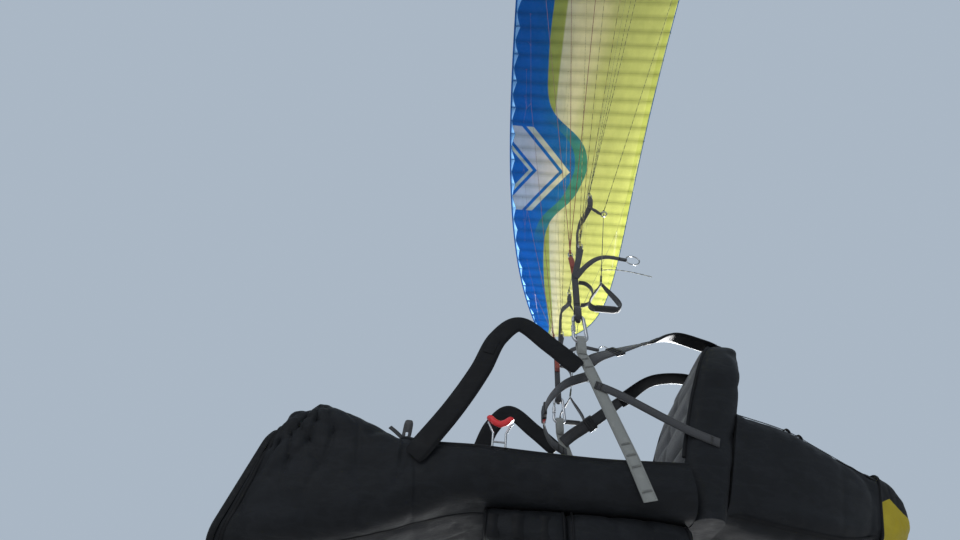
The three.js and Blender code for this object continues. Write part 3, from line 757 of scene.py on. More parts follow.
@dataclass(frozen=True)
class SailCloth:
    """Thin coated nylon that glows when the light is behind it."""

    sheet: SailSheet
    deep_blue: Colour = (0.0, 0.165, 0.52)
    upper_blue: Colour = (0.16, 0.27, 0.52)
    sky_blue: Colour = (0.2, 0.45, 0.8)
    teal: Colour = (0.045, 0.26, 0.22)
    olive: Colour = (0.45, 0.49, 0.11)
    cream: Colour = (0.79, 0.74, 0.53)
    lime: Colour = (0.62, 0.63, 0.3)
    grey: Colour = (0.78, 0.7, 0.65)
    through: float = 0.75
    point_place: float = 0.41
    point_reach: float = 0.475
    point_slope: float = 2.7
    arm: float = 0.3

    @lru_cache
    def material(self) -> Material:
        """The cloth's material."""
        g = Graph(f"sail cloth {self.sheet.value}")
        u, v, _ = g.split(g.surface())
        cell = g.times(u, 2.0 * WingShape.cells_per_half)
        out = g.math("ABSOLUTE", g.minus(g.times(u, 2.0), 1.0))
        if self.sheet is SailSheet.RIB:
            colour = g.blend(g.between(v, 0.05, 0.4), self.sky_blue, self.cream)
        elif self.sheet is SailSheet.UPPER:
            colour = self.upper_print(g, v)
        else:
            colour = self.lower_print(g, out, v)
        colour = self.wear(g, colour, cell, v)
        g.bump(self.relief(g, cell, v), 0.5, 0.004)
        g.let_light_through(colour, self.through)
        return g.dress(colour, 0.5, Sheen_Weight=0.02, Specular_IOR_Level=0.1)

    def upper_print(self, g: Graph, v: Value) -> Value:
        """A dark line at the very nose, light blue behind it, then deep blue, a pale band and lime."""
        nose = g.blend(g.between(v, 0.006, 0.014), self.deep_blue, self.sky_blue)
        front = g.blend(g.between(v, 0.3, 0.34), nose, self.upper_blue)
        pale = g.blend(g.between(v, 0.565, 0.575), front, self.cream)
        return g.blend(g.between(v, 0.72, 0.82), pale, self.lime)

    def lower_print(self, g: Graph, out: Value, v: Value) -> Value:
        """Blue before a swept edge with a teal border and straight chevrons, then pale cloth and lime."""
        ahead = g.minus(g.curve(out, BLUE_EDGE), v)
        fade = g.between(v, g.between(out, 0.0, 0.45, 0.5, 0.36), g.between(out, 0.0, 0.45, 0.7, 0.52))
        pale = g.blend(fade, self.cream, self.lime)
        rear = g.blend(g.between(v, 0.318, 0.33), self.olive, pale)
        rear = g.blend(g.between(v, 0.955, 0.96), rear, g.blend(0.45, self.lime, self.olive))
        colour = g.blend(g.between(ahead, -0.003, 0.003), rear, self.deep_blue)
        swell = g.times(g.between(out, 0.26, 0.36), g.between(out, 0.64, 0.52))
        border = g.times(g.between(ahead, -0.002, 0.003), g.between(ahead, 0.098, 0.092))
        colour = g.blend(g.times(border, swell), colour, self.teal)
        off = g.times(g.math("ABSOLUTE", g.minus(out, self.point_place)), self.point_slope)
        chevron = g.minus(g.minus(self.point_reach, off), v)
        for near, far, paint in (
            (0.0, 0.055, self.cream), (0.085, 0.26, self.grey), (0.29, 0.325, self.cream)
        ):
            inside = g.times(
                g.between(chevron, near, near + 0.006), g.between(chevron, far + 0.003, far - 0.003)
            )
            colour = g.blend(g.times(inside, g.between(off, self.arm, self.arm - 0.006)), colour, paint)
        return colour

    def wear(self, g: Graph, colour: Value, cell: Value, v: Value) -> Value:
        """Seams at the ribs, painted shade beside each seam, the ripstop grid, and cloudy unevenness."""
        seam = g.comb(cell, 1.0, 0.05)
        colour = g.blend(g.times(seam, 0.16), colour, (0.1, 0.12, 0.06))
        # Painted shade: the cloth beside each seam is darkened, as if the bulging cell were shaded there.
        beside = g.comb(cell, 1.0, 0.6)
        colour = g.blend(g.times(beside, 0.16), colour, (0.2, 0.25, 0.1), "MULTIPLY")
        threads = g.math("MAXIMUM", g.comb(cell, 1 / 34, 0.22), g.comb(v, 1 / 430, 0.22))
        colour = g.blend(g.times(threads, 0.1), colour, (1.0, 1.0, 1.0))
        cloud = g.noise(g.stretched(g.join(cell, v), (0.35, 6.0, 1.0)), 2.0, 4.0, 0.6)
        return g.blend(g.between(cloud, 0.3, 0.72, 0.0, 0.16), colour, (0.25, 0.3, 0.2), "MULTIPLY")

    def relief(self, g: Graph, cell: Value, v: Value) -> Value:
        """Puckers that run off each seam, and the grid of stronger threads."""
        pucker = g.noise(g.stretched(g.join(cell, v), (1.2, 110.0, 1.0)), 1.0, 3.0, 0.55)
        near = g.comb(cell, 1.0, 0.75)
        seam = g.comb(cell, 1.0, 0.06)
        puckered = g.times(pucker, near)
        return g.minus(puckered, g.times(seam, 0.5))


@dataclass(frozen=True)
class Webbing:
    """Woven strap: slanted ribs that meet along the middle, and firmer edges."""

    name: str
    colour: Colour
    light: Colour
    pitch: float = 0.0026
    width: float = 0.022
    wear: float = 0.25

    @lru_cache
    def material(self) -> Material:
        """The strap's material."""
        g = Graph(self.name)
        u, v, _ = g.split(g.surface())
        reach = g.math("ABSOLUTE", u)
        slant = g.plus(v, g.times(reach, 0.8))
        rib = g.math("SINE", g.times(slant, 2 * math.pi / self.pitch))
        cross = g.math("SINE", g.times(u, 2 * math.pi / (self.pitch * 0.75)))
        weave = g.math("MULTIPLY_ADD", g.times(rib, cross), 0.25, g.math("MULTIPLY_ADD", rib, 0.25, 0.5))
        edge = g.between(reach, self.width * 0.42, self.width * 0.47)
        cloud = g.noise(g.solid(), 60.0, 4.0, 0.65)
        colour = g.blend(g.times(weave, 0.7), self.colour, self.light)
        colour = g.blend(g.times(edge, 0.35), colour, self.colour, "MULTIPLY")
        colour = g.blend(g.between(cloud, 0.45, 0.75, 0.0, self.wear), colour, self.light)
        g.bump(g.minus(weave, g.times(edge, 0.2)), 0.7, 0.0006)
        return g.dress(
            colour, g.between(cloud, 0.3, 0.7, 0.72, 0.88), Sheen_Weight=0.3, Sheen_Roughness=0.5
        )


@dataclass(frozen=True)
class Sheath:
    """Braided cord with a coloured fleck."""

    name: str
    colour: Colour
    fleck: Colour
    pitch: float = 0.006
    dash: float = 0.0

    @lru_cache
    def material(self) -> Material:
        """The cord's material."""
        g = Graph(self.name)
        u, v, _ = g.split(g.surface())
        turn = g.times(u, 2.0)
        run = g.math("DIVIDE", v, self.pitch)
        one = g.comb(g.plus(turn, run), 1.0, 0.55)
        other = g.comb(g.minus(turn, run), 1.0, 0.55)
        braid = g.math("MAXIMUM", one, other)
        flecks = g.times(one, g.comb(run, 3.0, 0.5))
        dust = g.noise(g.solid(), 35.0, 3.0)
        colour = g.blend(g.times(flecks, 0.8), self.colour, self.fleck)
        colour = g.blend(g.between(dust, 0.4, 0.8, 0.0, 0.35), colour, self.fleck)
        if self.dash:
            colour = g.blend(g.comb(v, self.dash, 0.55), colour, self.fleck)
        g.bump(braid, 0.6, 0.0004)
        return g.dress(colour, 0.7, Sheen_Weight=0.2)


@dataclass(frozen=True)
class Thread:
    """Bonded sewing thread."""

    name: str
    colour: Colour

    @lru_cache
    def material(self) -> Material:
        """The thread's material."""
        g = Graph(self.name)
        twist = g.noise(g.solid(), 900.0, 2.0)
        shade = g.blend(
            g.between(twist, 0.35, 0.65, 0.0, 0.4), self.colour, tuple(0.4 * c for c in self.colour)
        )
        g.bump(twist, 0.4, 0.0003)
        return g.dress(shade, 0.55, Sheen_Weight=0.3)


@dataclass(frozen=True)
class Metal:
    """Polished or brushed metal with fine scratches and a duller bloom."""

    name: str
    colour: Colour
    roughness: float = 0.28

    @lru_cache
    def material(self) -> Material:
        """The metal's material."""
        g = Graph(self.name)
        scratch = g.noise(g.stretched(g.solid(), (40.0, 900.0, 900.0), 17.0), 1.0, 3.0, 0.7)
        bloom = g.noise(g.solid(), 120.0, 4.0, 0.6)
        colour = g.blend(
            g.between(bloom, 0.45, 0.75, 0.0, 0.3), self.colour, tuple(0.55 * c for c in self.colour)
        )
        rough = g.between(g.plus(scratch, bloom), 0.7, 1.3, self.roughness * 0.75, self.roughness * 1.5)
        g.bump(scratch, 0.15, 0.0002)
        return g.dress(colour, rough, 1.0)


@dataclass(frozen=True)
class Moulding:
    """Moulded plastic or rubber with a fine grain."""

    name: str
    colour: Colour
    roughness: float = 0.5
    gloss: float = 0.5

    @lru_cache
    def material(self) -> Material:
        """The moulding's material."""
        g = Graph(self.name)
        grain = g.noise(g.solid(), 1400.0, 3.0, 0.6)
        rub = g.noise(g.solid(), 90.0, 4.0, 0.6)
        colour = g.blend(
            g.between(rub, 0.5, 0.8, 0.0, 0.3), self.colour,
            tuple(min(1.0, 1.8 * c + 0.02) for c in self.colour)
        )
        g.bump(grain, 0.35, 0.0003)
        return g.dress(
            colour, g.between(rub, 0.3, 0.7, self.roughness * 0.8, self.roughness * 1.25),
            Specular_IOR_Level=self.gloss
        )


@dataclass(frozen=True)
class BodyCloth:
    """Coated woven nylon of the harness, with small creases."""

    name: str
    colour: Colour
    light: Colour
    crease: float = 0.5
    weave: float = 0.0011

    @lru_cache
    def material(self) -> Material:
        """The cloth's material."""
        g = Graph(self.name)
        u, v, _ = g.split(g.surface())
        warp = g.math("SINE", g.times(u, 2 * math.pi / self.weave))
        weft = g.math("SINE", g.times(v, 2 * math.pi / self.weave))
        threads = g.math("MULTIPLY_ADD", g.times(warp, weft), 0.5, 0.5)
        place = g.solid()
        folds = g.noise(g.stretched(place, (7.0, 16.0, 22.0), 24.0), 1.0, 5.0, 0.62)
        sharp = g.math("ABSOLUTE", g.minus(folds, 0.5))
        lines = g.between(sharp, 0.0, 0.06, 1.0, 0.0)
        dust = g.noise(place, 14.0, 5.0, 0.65)
        colour = g.blend(g.times(threads, 0.35), self.colour, self.light)
        colour = g.blend(g.between(dust, 0.42, 0.75, 0.0, 0.4), colour, self.light)
        colour = g.blend(g.times(lines, 0.18), colour, self.light)
        height = g.math(
            "MULTIPLY_ADD", lines, 0.3 * self.crease, g.math("MULTIPLY_ADD", threads, 0.06, folds)
        )
        g.bump(height, 0.6, 0.006 * self.crease)
        rough = g.between(dust, 0.3, 0.7, 0.52, 0.72)
        return g.dress(colour, rough, Sheen_Weight=0.02, Sheen_Roughness=0.4, Specular_IOR_Level=0.12)


@dataclass(frozen=True)
class AirMesh:
    """Padded spacer mesh with round holes painted darker as shade, as on linings and back pads."""

    name: str
    colour: Colour
    pitch: float = 0.0032

    @lru_cache
    def material(self) -> Material:
        """The mesh's material."""
        g = Graph(self.name)
        u, v, _ = g.split(g.surface())
        one = g.math("SINE", g.times(g.plus(u, v), math.pi / self.pitch * 1.4))
        other = g.math("SINE", g.times(g.minus(u, v), math.pi / self.pitch * 1.4))
        hole = g.between(g.times(one, other), 0.25, 0.6)
        dust = g.noise(g.solid(), 30.0, 4.0)
        light = tuple(min(1.0, 3.0 * c + 0.01) for c in self.colour)
        # Painted shade: the holes take a quarter of the mesh's colour, as shade inside them.
        colour = g.blend(
            hole, g.blend(g.between(dust, 0.4, 0.8, 0.1, 0.5), self.colour, light),
            tuple(0.25 * c for c in self.colour)
        )
        g.bump(g.minus(1.0, hole), 0.8, 0.0009)
        return g.dress(colour, 0.85, Sheen_Weight=0.3)


RED_LINE = Sheath("red line", (0.16, 0.03, 0.015), (0.4, 0.14, 0.1))
OLIVE_LINE = Sheath("olive line", (0.05, 0.048, 0.015), (0.42, 0.36, 0.09), dash=0.06)
DARK_LINE = Sheath("dark line", (0.018, 0.022, 0.018), (0.2, 0.21, 0.1))
DASHED_LINE = Sheath("dashed line", (0.01, 0.012, 0.01), (0.36, 0.38, 0.12), dash=0.036)
TAIL_LINE = Sheath("line tail", (0.012, 0.014, 0.012), (0.42, 0.43, 0.36), pitch=0.01, dash=0.02)
PATCH = Webbing("end patch", (0.62, 0.1, 0.06), (0.85, 0.8, 0.75), pitch=0.004, width=0.014)
TAB_TAPE = Webbing("tab tape", (0.02, 0.02, 0.022), (0.09, 0.09, 0.1), pitch=0.0015, width=0.006)
BLACK_WEB = Webbing("black webbing", (0.012, 0.012, 0.014), (0.055, 0.056, 0.062))
RED_WEB = Webbing("red webbing", (0.16, 0.02, 0.012), (0.35, 0.07, 0.04))
GREY_WEB = Webbing("grey webbing", (0.12, 0.125, 0.12), (0.34, 0.35, 0.33), width=0.034)
BLACK_THREAD = Thread("black thread", (0.035, 0.035, 0.04))
GREY_THREAD = Thread("grey thread", (0.3, 0.31, 0.32))
WHITE_THREAD = Thread("white thread", (0.7, 0.68, 0.62))
STEEL = Metal("bright steel", (0.36, 0.37, 0.38), 0.25)
ALLOY = Metal("light alloy", (0.42, 0.43, 0.45), 0.32)
BLACK_PLASTIC = Moulding("black plastic", (0.014, 0.014, 0.016), 0.42)
RUBBER = Moulding("black rubber", (0.02, 0.02, 0.021), 0.75)
RED_PLASTIC = Moulding("red plastic", (0.62, 0.02, 0.025), 0.36)
FOOT_PANEL = Moulding("foot panel", (0.006, 0.0065, 0.0075), 0.6, 0.14)
TAB_RUBBER = Moulding("grey rubber", (0.03, 0.03, 0.032), 0.6)
PALE_PLASTIC = Moulding("pale plastic", (0.17, 0.19, 0.22), 0.5)
POD_CLOTH = BodyCloth("pod cloth", (0.006, 0.0067, 0.008), (0.022, 0.024, 0.028))
SMOOTH_CLOTH = BodyCloth("smooth black cloth", (0.0045, 0.0046, 0.0055), (0.017, 0.018, 0.02), crease=0.25)
YELLOW_CLOTH = BodyCloth("yellow cloth", (0.3, 0.23, 0.01), (0.44, 0.36, 0.04), crease=0.4)
LINING = AirMesh("lining mesh", (0.018, 0.018, 0.02))


# The wing
BLUE_EDGE = [
    (0.0, 0.242), (0.14, 0.245), (0.235, 0.275), (0.385, 0.6), (0.45, 0.56), (0.575, 0.3), (0.66, 0.265),
    (1.0, 0.27)
]


@dataclass(frozen=True)
class WingShape:
    """The canopy's arc, plan and section, as the frame has them."""

    arc_half_width: float = 5.0
    arc_depth: float = 3.04
    tip_turn: float = math.radians(84)
    cells_per_half: int = 31
    cell_spread: float = 0.02
    root_chord: float = 2.56
    root_lead: float = 0.405
    tip_sweep: float = 0.888
    sweep_power: float = 2.4
    chord_fall: float = 0.978
    chord_power: float = 2.3
    thickness: float = 0.17
    camber_height: float = 0.03
    camber_place: float = 0.3
    cell_bulge: float = 0.09
    mouth_top: float = 0.012

    def turn(self, rib: Rows) -> Rows:
        """How far round the arc a rib stands, in radians; between ribs for a fraction."""
        share = np.abs(rib) / self.cells_per_half
        return np.sign(rib) * self.tip_turn * (share - self.cell_spread * np.sin(2 * math.pi * share))

    def chord(self, turn: Rows) -> Rows:
        """The chord there."""
        return self.root_chord * np.sqrt(
            1 - (self.chord_fall * np.abs(turn / self.tip_turn)) ** self.chord_power
        )

    def cell_width(self, rib: Rows) -> Rows:
        """The width of the cell round there."""
        return self.arc_half_width * np.abs(self.turn(rib + 0.5) - self.turn(rib - 0.5))

    def half_thickness(self, place: Rows) -> Rows:
        """Half the section's thickness, in chords."""
        powers = (np.sqrt(place), place, place**2, place**3, place**4)
        law = (0.2969, -0.126, -0.3516, 0.2843, -0.1015)
        return 5 * self.thickness * sum(k * p for k, p in zip(law, powers))

    def camber(self, place: Rows) -> Rows:
        """The middle line's height, in chords."""
        p = self.camber_place
        front = self.camber_height / p**2 * (2 * p * place - place**2)
        rear = self.camber_height / (1 - p) ** 2 * (1 - 2 * p + 2 * p * place - place**2)
        return np.where(place < p, front, rear)

    def upper(self, place: Rows) -> Rows:
        """The upper side's height, in chords."""
        return self.camber(place) + self.half_thickness(place)

    def lower(self, place: Rows) -> Rows:
        """The lower side's height, in chords."""
        return self.camber(place) - self.half_thickness(place)

    def point(self, rib: Rows, place: Rows, lift: Rows, proud: Rows = 0.0) -> Rows:
        """Places on the wing.

        Args:
            rib: which rib, or a fraction between two.
            place: share of the chord behind the leading edge.
            lift: height over the chord plane, in chords.
            proud: metres further out.

        Returns:
            The points, in the frame.
        """
        turn, a, b = self.turn(np.asarray(rib, float)), self.arc_half_width, self.arc_depth
        up = unit(np.stack([0 * turn, b * np.sin(turn), a * np.cos(turn)], -1))
        chord = self.chord(turn)
        lead = self.root_lead - self.tip_sweep * np.abs(turn / self.tip_turn) ** self.sweep_power
        base = np.stack(
            np.broadcast_arrays(lead - place * chord, a * np.sin(turn), -b * (1 - np.cos(turn))), -1
        )
        return base + up * np.asarray(lift * chord + proud)[..., None]

    def bulge(self, rib: Rows, place: Rows) -> Rows:
        """How far the air pushes the cloth out between the ribs."""
        inside = np.abs(np.sin(math.pi * rib)) ** 0.85
        front = 0.3 + 0.7 * np.clip(place / 0.05, 0, 1) ** 0.6
        rear = 1 - np.clip((place - 0.7) / 0.3, 0, 1) ** 2
        return self.cell_bulge * self.cell_width(np.floor(rib) + 0.5) * inside * front * rear

    def tie(self, rib: float, side: Side, place: float) -> Rows:
        """Where a line is tied under a rib."""
        where = np.array(rib * side.value, float)
        return self.point(where, np.array(place), self.lower(np.array(place)), -0.0008)


WING = WingShape()
CANOPY_NODES = [f"canopy_{part}" for part in (
    "tip_right", "mid_right", "inner_right", "centre", "inner_left", "mid_left", "tip_left",
)]


@dataclass
class Canopy:
    """The ram-air wing: two sails, the ribs between them, and the edges' tapes."""

    steps_per_cell: int = 8
    rows: int = 46
    tooth_near: float = 0.016
    tooth_far: float = 0.025
    tooth_power: float = 1.3
    tape: float = 0.007
    hem: float = 0.014

    def build(self) -> None:
        """Models and dresses the whole wing."""
        across = np.arange(2 * WING.cells_per_half * self.steps_per_cell + 1) / self.steps_per_cell
        ribs = across - WING.cells_per_half
        upper = self.sail("upper_sail", ribs, *self.upper_rows(ribs), SailSheet.UPPER)
        lower = self.sail("lower_sail", ribs, *self.lower_rows(ribs), SailSheet.LOWER)
        inner = self.ribs()
        tapes = self.tapes(ribs)
        for sail, pieces in ((upper, [inner]), (lower, [tapes])):
            width, length = self.cut_size(sail)
            self.cloth_area(sail)
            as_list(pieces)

    def mouth_edge(self, ribs: Rows) -> Rows:
        """Where the lower sail starts: it reaches forward at every second rib."""
        off = np.abs((ribs - 1) / 2 - np.round((ribs - 1) / 2)) * 2
        return self.tooth_near + self.tooth_far * off**self.tooth_power

    def upper_rows(self, ribs: Rows) -> tuple[Rows, Rows]:
        """The upper sail, from the mouths' top edge round the nose to the trailing edge."""
        way = np.linspace(-math.sqrt(WING.mouth_top), 1, self.rows)[:, None]
        place = way**2 + 0 * ribs
        lift = np.where(way < 0, WING.lower(place), WING.upper(place))
        proud = WING.bulge(ribs, place) * np.sign(way + OFF_MIDDLE)
        rows = WING.point(ribs[None] + 0 * place, place, lift, proud)
        return rows, way + 0 * ribs

    def lower_rows(self, ribs: Rows) -> tuple[Rows, Rows]:
        """The lower sail, from its toothed front edge to the trailing edge."""
        start = self.mouth_edge(ribs)
        share = np.linspace(0, 1, self.rows)[:, None] ** 1.3
        place = start + (1 - start) * share
        rows = WING.point(ribs[None] + 0 * place, place, WING.lower(place), -WING.bulge(ribs, place))
        return rows, place

    def sail(self, name: str, ribs: Rows, rows: Rows, place: Rows, sheet: SailSheet) -> Object:
        """One sail with its print."""
        u = (ribs + WING.cells_per_half) / (2 * WING.cells_per_half)
        texture = np.stack([np.broadcast_to(u, place.shape), place], -1)
        order = rows if sheet is SailSheet.UPPER else rows[:, ::-1]
        places = texture if sheet is SailSheet.UPPER else texture[:, ::-1]
        piece = Heap().grid(order, places).build(name, closed=False)
        return finish_piece(piece, [SailCloth(sheet)], Body.WING, Slot.SAIL, CANOPY_NODES, 70)

    def cut_size(self, sail: Object) -> tuple[float, float]:
        """The sail's width along its arc and its length along the middle chord."""
        count = 2 * WING.cells_per_half * self.steps_per_cell + 1
        points = np.array([v.co for v in sail.data.vertices]).reshape(-1, count, 3)
        middle = run_lengths(points[:, count // 2])[-1]
        widest = max(run_lengths(row)[-1] for row in points[:: self.rows // 6])
        return widest, middle

    @staticmethod
    def cloth_area(sail: Object) -> float:
        """The sum of the sail's faces."""
        return sum(face.area for face in sail.data.polygons)

    def ribs(self) -> Object:
        """The cloth walls between the sails, with the holes that let the air cross from cell to cell."""
        heap = Heap()
        walls = [0.0, 0.05, 0.14, 0.25, 0.37, 0.49, 0.61, 0.73, 0.86, 1.0]
        turn = np.linspace(0, 2 * math.pi, 25)[:, None] + math.pi / 4
        round_hole = np.concatenate([np.cos(turn), np.sin(turn)], 1)
        square = round_hole / np.max(np.abs(round_hole), axis=1, keepdims=True)
        for rib in range(-WING.cells_per_half, WING.cells_per_half + 1):
            for k, (near, far) in enumerate(zip(walls, walls[1:])):
                port = 0.0 if k in (0, len(walls) - 2) or abs(rib) == WING.cells_per_half else 0.52
                rings = np.stack([square, round_hole * max(port, 0.001)])
                place = near + (far - near) * (rings[..., 0] + 1) / 2
                share = (rings[..., 1] + 1) / 2
                lift = WING.lower(place) + (WING.upper(place) - WING.lower(place)) * share
                points = WING.point(np.full(place.shape, float(rib)), place, lift)
                across = rib / (2 * WING.cells_per_half) + 0.5
                texture = np.stack([np.full(place.shape, across), place], -1)
                heap.grid(points, texture)
        piece = heap.build("cell_ribs", closed=False)
        return finish_piece(piece, [SailCloth(SailSheet.RIB)], Body.WING, Slot.SAIL)

    def tapes(self, ribs: Rows) -> Object:
        """Tapes sewn along the mouths' lower edge and the trailing edge."""
        heap = Heap()
        start = self.mouth_edge(ribs)
        turn = WING.turn(ribs)
        up = unit(
            np.stack([0 * turn, np.sin(turn) * WING.arc_depth, np.cos(turn) * WING.arc_half_width], -1)
        )
        for tag, (place, width) in enumerate(((start, self.tape), (np.full(ribs.shape, 0.9995), self.hem))):
            path = WING.point(ribs, place, WING.lower(place), -0.0012 - WING.bulge(ribs, place))
            heap.band(path, up, width, 0.0012, tag=tag)
        piece = heap.build("edge_tapes")
        front = Webbing("mouth tape", (0.004, 0.12, 0.4), (0.02, 0.18, 0.5), width=self.tape)
        rear = Webbing("hem tape", (0.36, 0.41, 0.09), (0.46, 0.52, 0.13), width=self.hem)
        return finish_piece(piece, [front, rear], Body.WING, Slot.SAIL)


# Rigging
@dataclass(frozen=True)
class LineRow:
    """One row of lines: where it is tied under the wing, and where it ends on the riser."""

    name: str
    place: float
    end: Place
    sheath: Sheath
    slot: Slot


PULLEY = (-0.128, 0.294, 0.52)
LINE_ROWS = [
    LineRow("a", 0.1, (0.006, 0.238, 0.3), RED_LINE, Slot.RED_CORD),
    LineRow("b", 0.38, (-0.032, 0.248, 0.345), OLIVE_LINE, Slot.OLIVE_CORD),
    LineRow("c", 0.66, (-0.090, 0.283, 0.650), DASHED_LINE, Slot.DARK_CORD),
]


@dataclass
class Rigging:
    """The cascades of lines that carry the wing, and the brake fans."""

    foot_rise: float = 0.0413
    main_share: float = 0.6
    middle_share: float = 0.82
    radii: tuple[float, float, float] = (0.00125, 0.0011, 0.0009)
    groups: RibGroups = (((1, 3), (6, 8)), ((11, 13), (16, 18)), ((21, 23), (26, 28)))
    brake_groups: RibGroups = (((3, 6), (11, 14)), ((18, 21), (25, 28)))
    fan_rise: float = 0.0099
    brake_main_share: float = 0.45
    splice: float = 0.09

    def build(self) -> None:
        """Models and dresses every row on both sides."""
        for side in Side:
            for row in LINE_ROWS:
                self.row(side, row)
            self.fan(side)

    def line(self, heap: Heap, start: Rows, end: Rows, radius: float, sides: int = 6) -> None:
        """A taut line, thicker where its ends are spliced back into it."""
        length = float(np.linalg.norm(end - start))
        splice = min(self.splice, length / 4)
        stops = np.array([0, splice * 0.9, splice, length - splice, length - splice * 0.9, length])
        path = start + (end - start) * (stops / length)[:, None]
        heap.tube(path, radius * np.array([1.35, 1.3, 1.0, 1.0, 1.3, 1.35]), sides)

    def knot(self, heap: Heap, place: Rows, ahead: Rows, size: float) -> None:
        """Two loops hooked into each other."""
        steps = np.array([-1.0, -0.7, -0.35, 0.0, 0.35, 0.7, 1.0]) * size * 3.2
        swell = np.array([0.5, 1.0, 1.25, 0.75, 1.25, 1.0, 0.5]) * size
        heap.tube(place + unit(ahead) * steps[:, None], swell, 8)

    def cascade(
        self, heap: Heap, tabs: list[Matrix], foot: Rows, side: Side, place: float, groups: tuple
    ) -> None:
        """Main lines, the middle lines on each, and the upper lines on those."""
        main, middle, upper = self.radii
        for group in groups:
            ties = [[WING.tie(rib, side, place) for rib in pair] for pair in group]
            low = foot + (np.mean([t for pair in ties for t in pair], axis=0) - foot) * self.main_share
            self.line(heap, foot, low, main, 8)
            self.knot(heap, low, low - foot, 2.6 * main)
            for pair, ends in zip(group, ties):
                high = foot + (np.mean(ends, axis=0) - foot) * self.middle_share
                self.line(heap, low, high, middle)
                self.knot(heap, high, high - low, 2.4 * middle)
                for rib in self.tied_ribs(pair):
                    tie = WING.tie(rib, side, place)
                    tab = tie + unit(high - tie) * 0.022
                    self.line(heap, high, tab, upper)
                    self.knot(heap, tab, tab - high, 2.0 * upper)
                    tabs.append(frame_at(tie, AHEAD, tie - tab))

    @staticmethod
    def tied_ribs(pair: Sequence[int]) -> list[int]:
        """The ribs that a pair of ties in the frame stands for: two, or three on the wider pairs."""
        middle = sum(pair) / 2
        return list(pair) if middle % 10 == 2 else [int(middle) - 2, int(middle), int(middle) + 2]

    def tab_shape(self) -> Heap:
        """A tape loop sewn into the seam, that the line is hooked into."""
        half = [(0.011, 0.004), (0.009, -0.004), (0.003, -0.021)]
        outline = np.array([(-x, 0, z) for x, z in half] + [(x, 0, z) for x, z in half[::-1]])
        return Heap().band(spline(outline, 10), LEFTWARD, 0.006, 0.0012)

    def row(self, side: Side, row: LineRow) -> None:
        """One row of lines on one side."""
        heap, tabs = Heap(), []
        foot = side.hung([row.end])[0] + UP * self.foot_rise
        self.cascade(heap, tabs, foot, side, row.place, self.groups)
        self.knot(heap, foot - UP * 0.006, UP, 0.0042)
        heap.copies(self.tab_shape(), tabs, tag=1)
        heap.make(
            f"{row.name}_rigging_{side.suffix}", [row.sheath, TAB_TAPE], Body.WING, row.slot,
            [f"{row.name}_lines_{side.suffix}"]
        )

    def fan(self, side: Side) -> None:
        """The brake's fan, from the ring up to the trailing edge."""
        heap, tabs = Heap(), []
        foot = side.hung([PULLEY])[0] + UP * self.fan_rise
        ribs = [rib for group in self.brake_groups for pair in group for rib in pair]
        middle = np.mean([WING.tie(rib, side, 1.0) for rib in ribs], axis=0)
        top = foot + (middle - foot) * self.brake_main_share
        self.line(heap, foot, top, self.radii[0], 8)
        self.knot(heap, top, top - foot, 0.0032)
        self.knot(heap, foot + UP * 0.006, top - foot, 0.003)
        for group in self.brake_groups:
            self.cascade(heap, tabs, top, side, 1.0, (group,))
        heap.copies(self.tab_shape(), tabs, tag=1)
        heap.make(
            f"brake_rigging_{side.suffix}", [DASHED_LINE, TAB_TAPE], Body.WING, Slot.DARK_CORD,
            [f"brake_fan_{side.suffix}"]
        )


# Bench work on hardware
@dataclass(frozen=True)
class Straight:
    """Draws the ring on by a vector, and resizes it."""

    by: Place
    scale: float = 1.0


@dataclass(frozen=True)
class Bend:
    """Swings the ring round an axis by the right-hand rule."""

    centre: Place
    axis: Place
    degrees: float
    steps: int = 10


def drawn(
    name: str,
    start: Sequence[float],
    tilt: tuple[float, float, float],
    radius: float,
    moves: Sequence[Straight | Bend],
    finish: Finish,
    sides: int = 16,
    closed: bool = False,
) -> Object:
    """A round bar or turned piece, drawn out of one ring.

    Args:
        name: of the object.
        start: the first ring's centre.
        tilt: the ring's rotation in degrees; unturned it lies flat.
        radius: of the first ring.
        moves: how the ring travels.
        finish: its material.
        sides: of the ring.
        closed: whether the last ring meets the first.

    Returns:
        The object.
    """
    bpy.ops.object.select_all(action="DESELECT")
    turn = tuple(math.radians(angle) for angle in tilt)
    bpy.ops.mesh.primitive_circle_add(vertices=sides, radius=radius, location=tuple(start), rotation=turn)
    piece = bpy.context.active_object
    piece.name = name
    bpy.ops.object.transform_apply(location=True, rotation=True, scale=True)
    bpy.ops.object.mode_set(mode="EDIT")
    bpy.ops.mesh.select_mode(type="VERT")
    bpy.ops.mesh.select_all(action="SELECT")
    centre = np.array(start, float)
    for move in moves:
        if isinstance(move, Bend):
            away = tuple(-c for c in move.axis)
            bpy.ops.mesh.spin(
                steps=move.steps, angle=math.radians(move.degrees), center=move.centre, axis=away
            )
            turned = Matrix.Rotation(math.radians(move.degrees), 3, Vector(move.axis))
            centre = np.array(turned @ Vector(centre - move.centre)) + move.centre
        else:
            bpy.ops.mesh.extrude_region_move(TRANSFORM_OT_translate={"value": move.by})
            centre = centre + move.by
            if move.scale != 1.0:
                bpy.ops.transform.resize(value=(move.scale,) * 3, center_override=tuple(centre))
    bpy.ops.mesh.select_all(action="SELECT")
    if closed:
        bpy.ops.mesh.remove_doubles(threshold=1e-5)
    else:
        bpy.ops.mesh.fill_holes(sides=0)
    bpy.ops.mesh.normals_make_consistent(inside=False)
    bpy.ops.object.mode_set(mode="OBJECT")
    piece.data.materials.append(finish.material())
    return piece


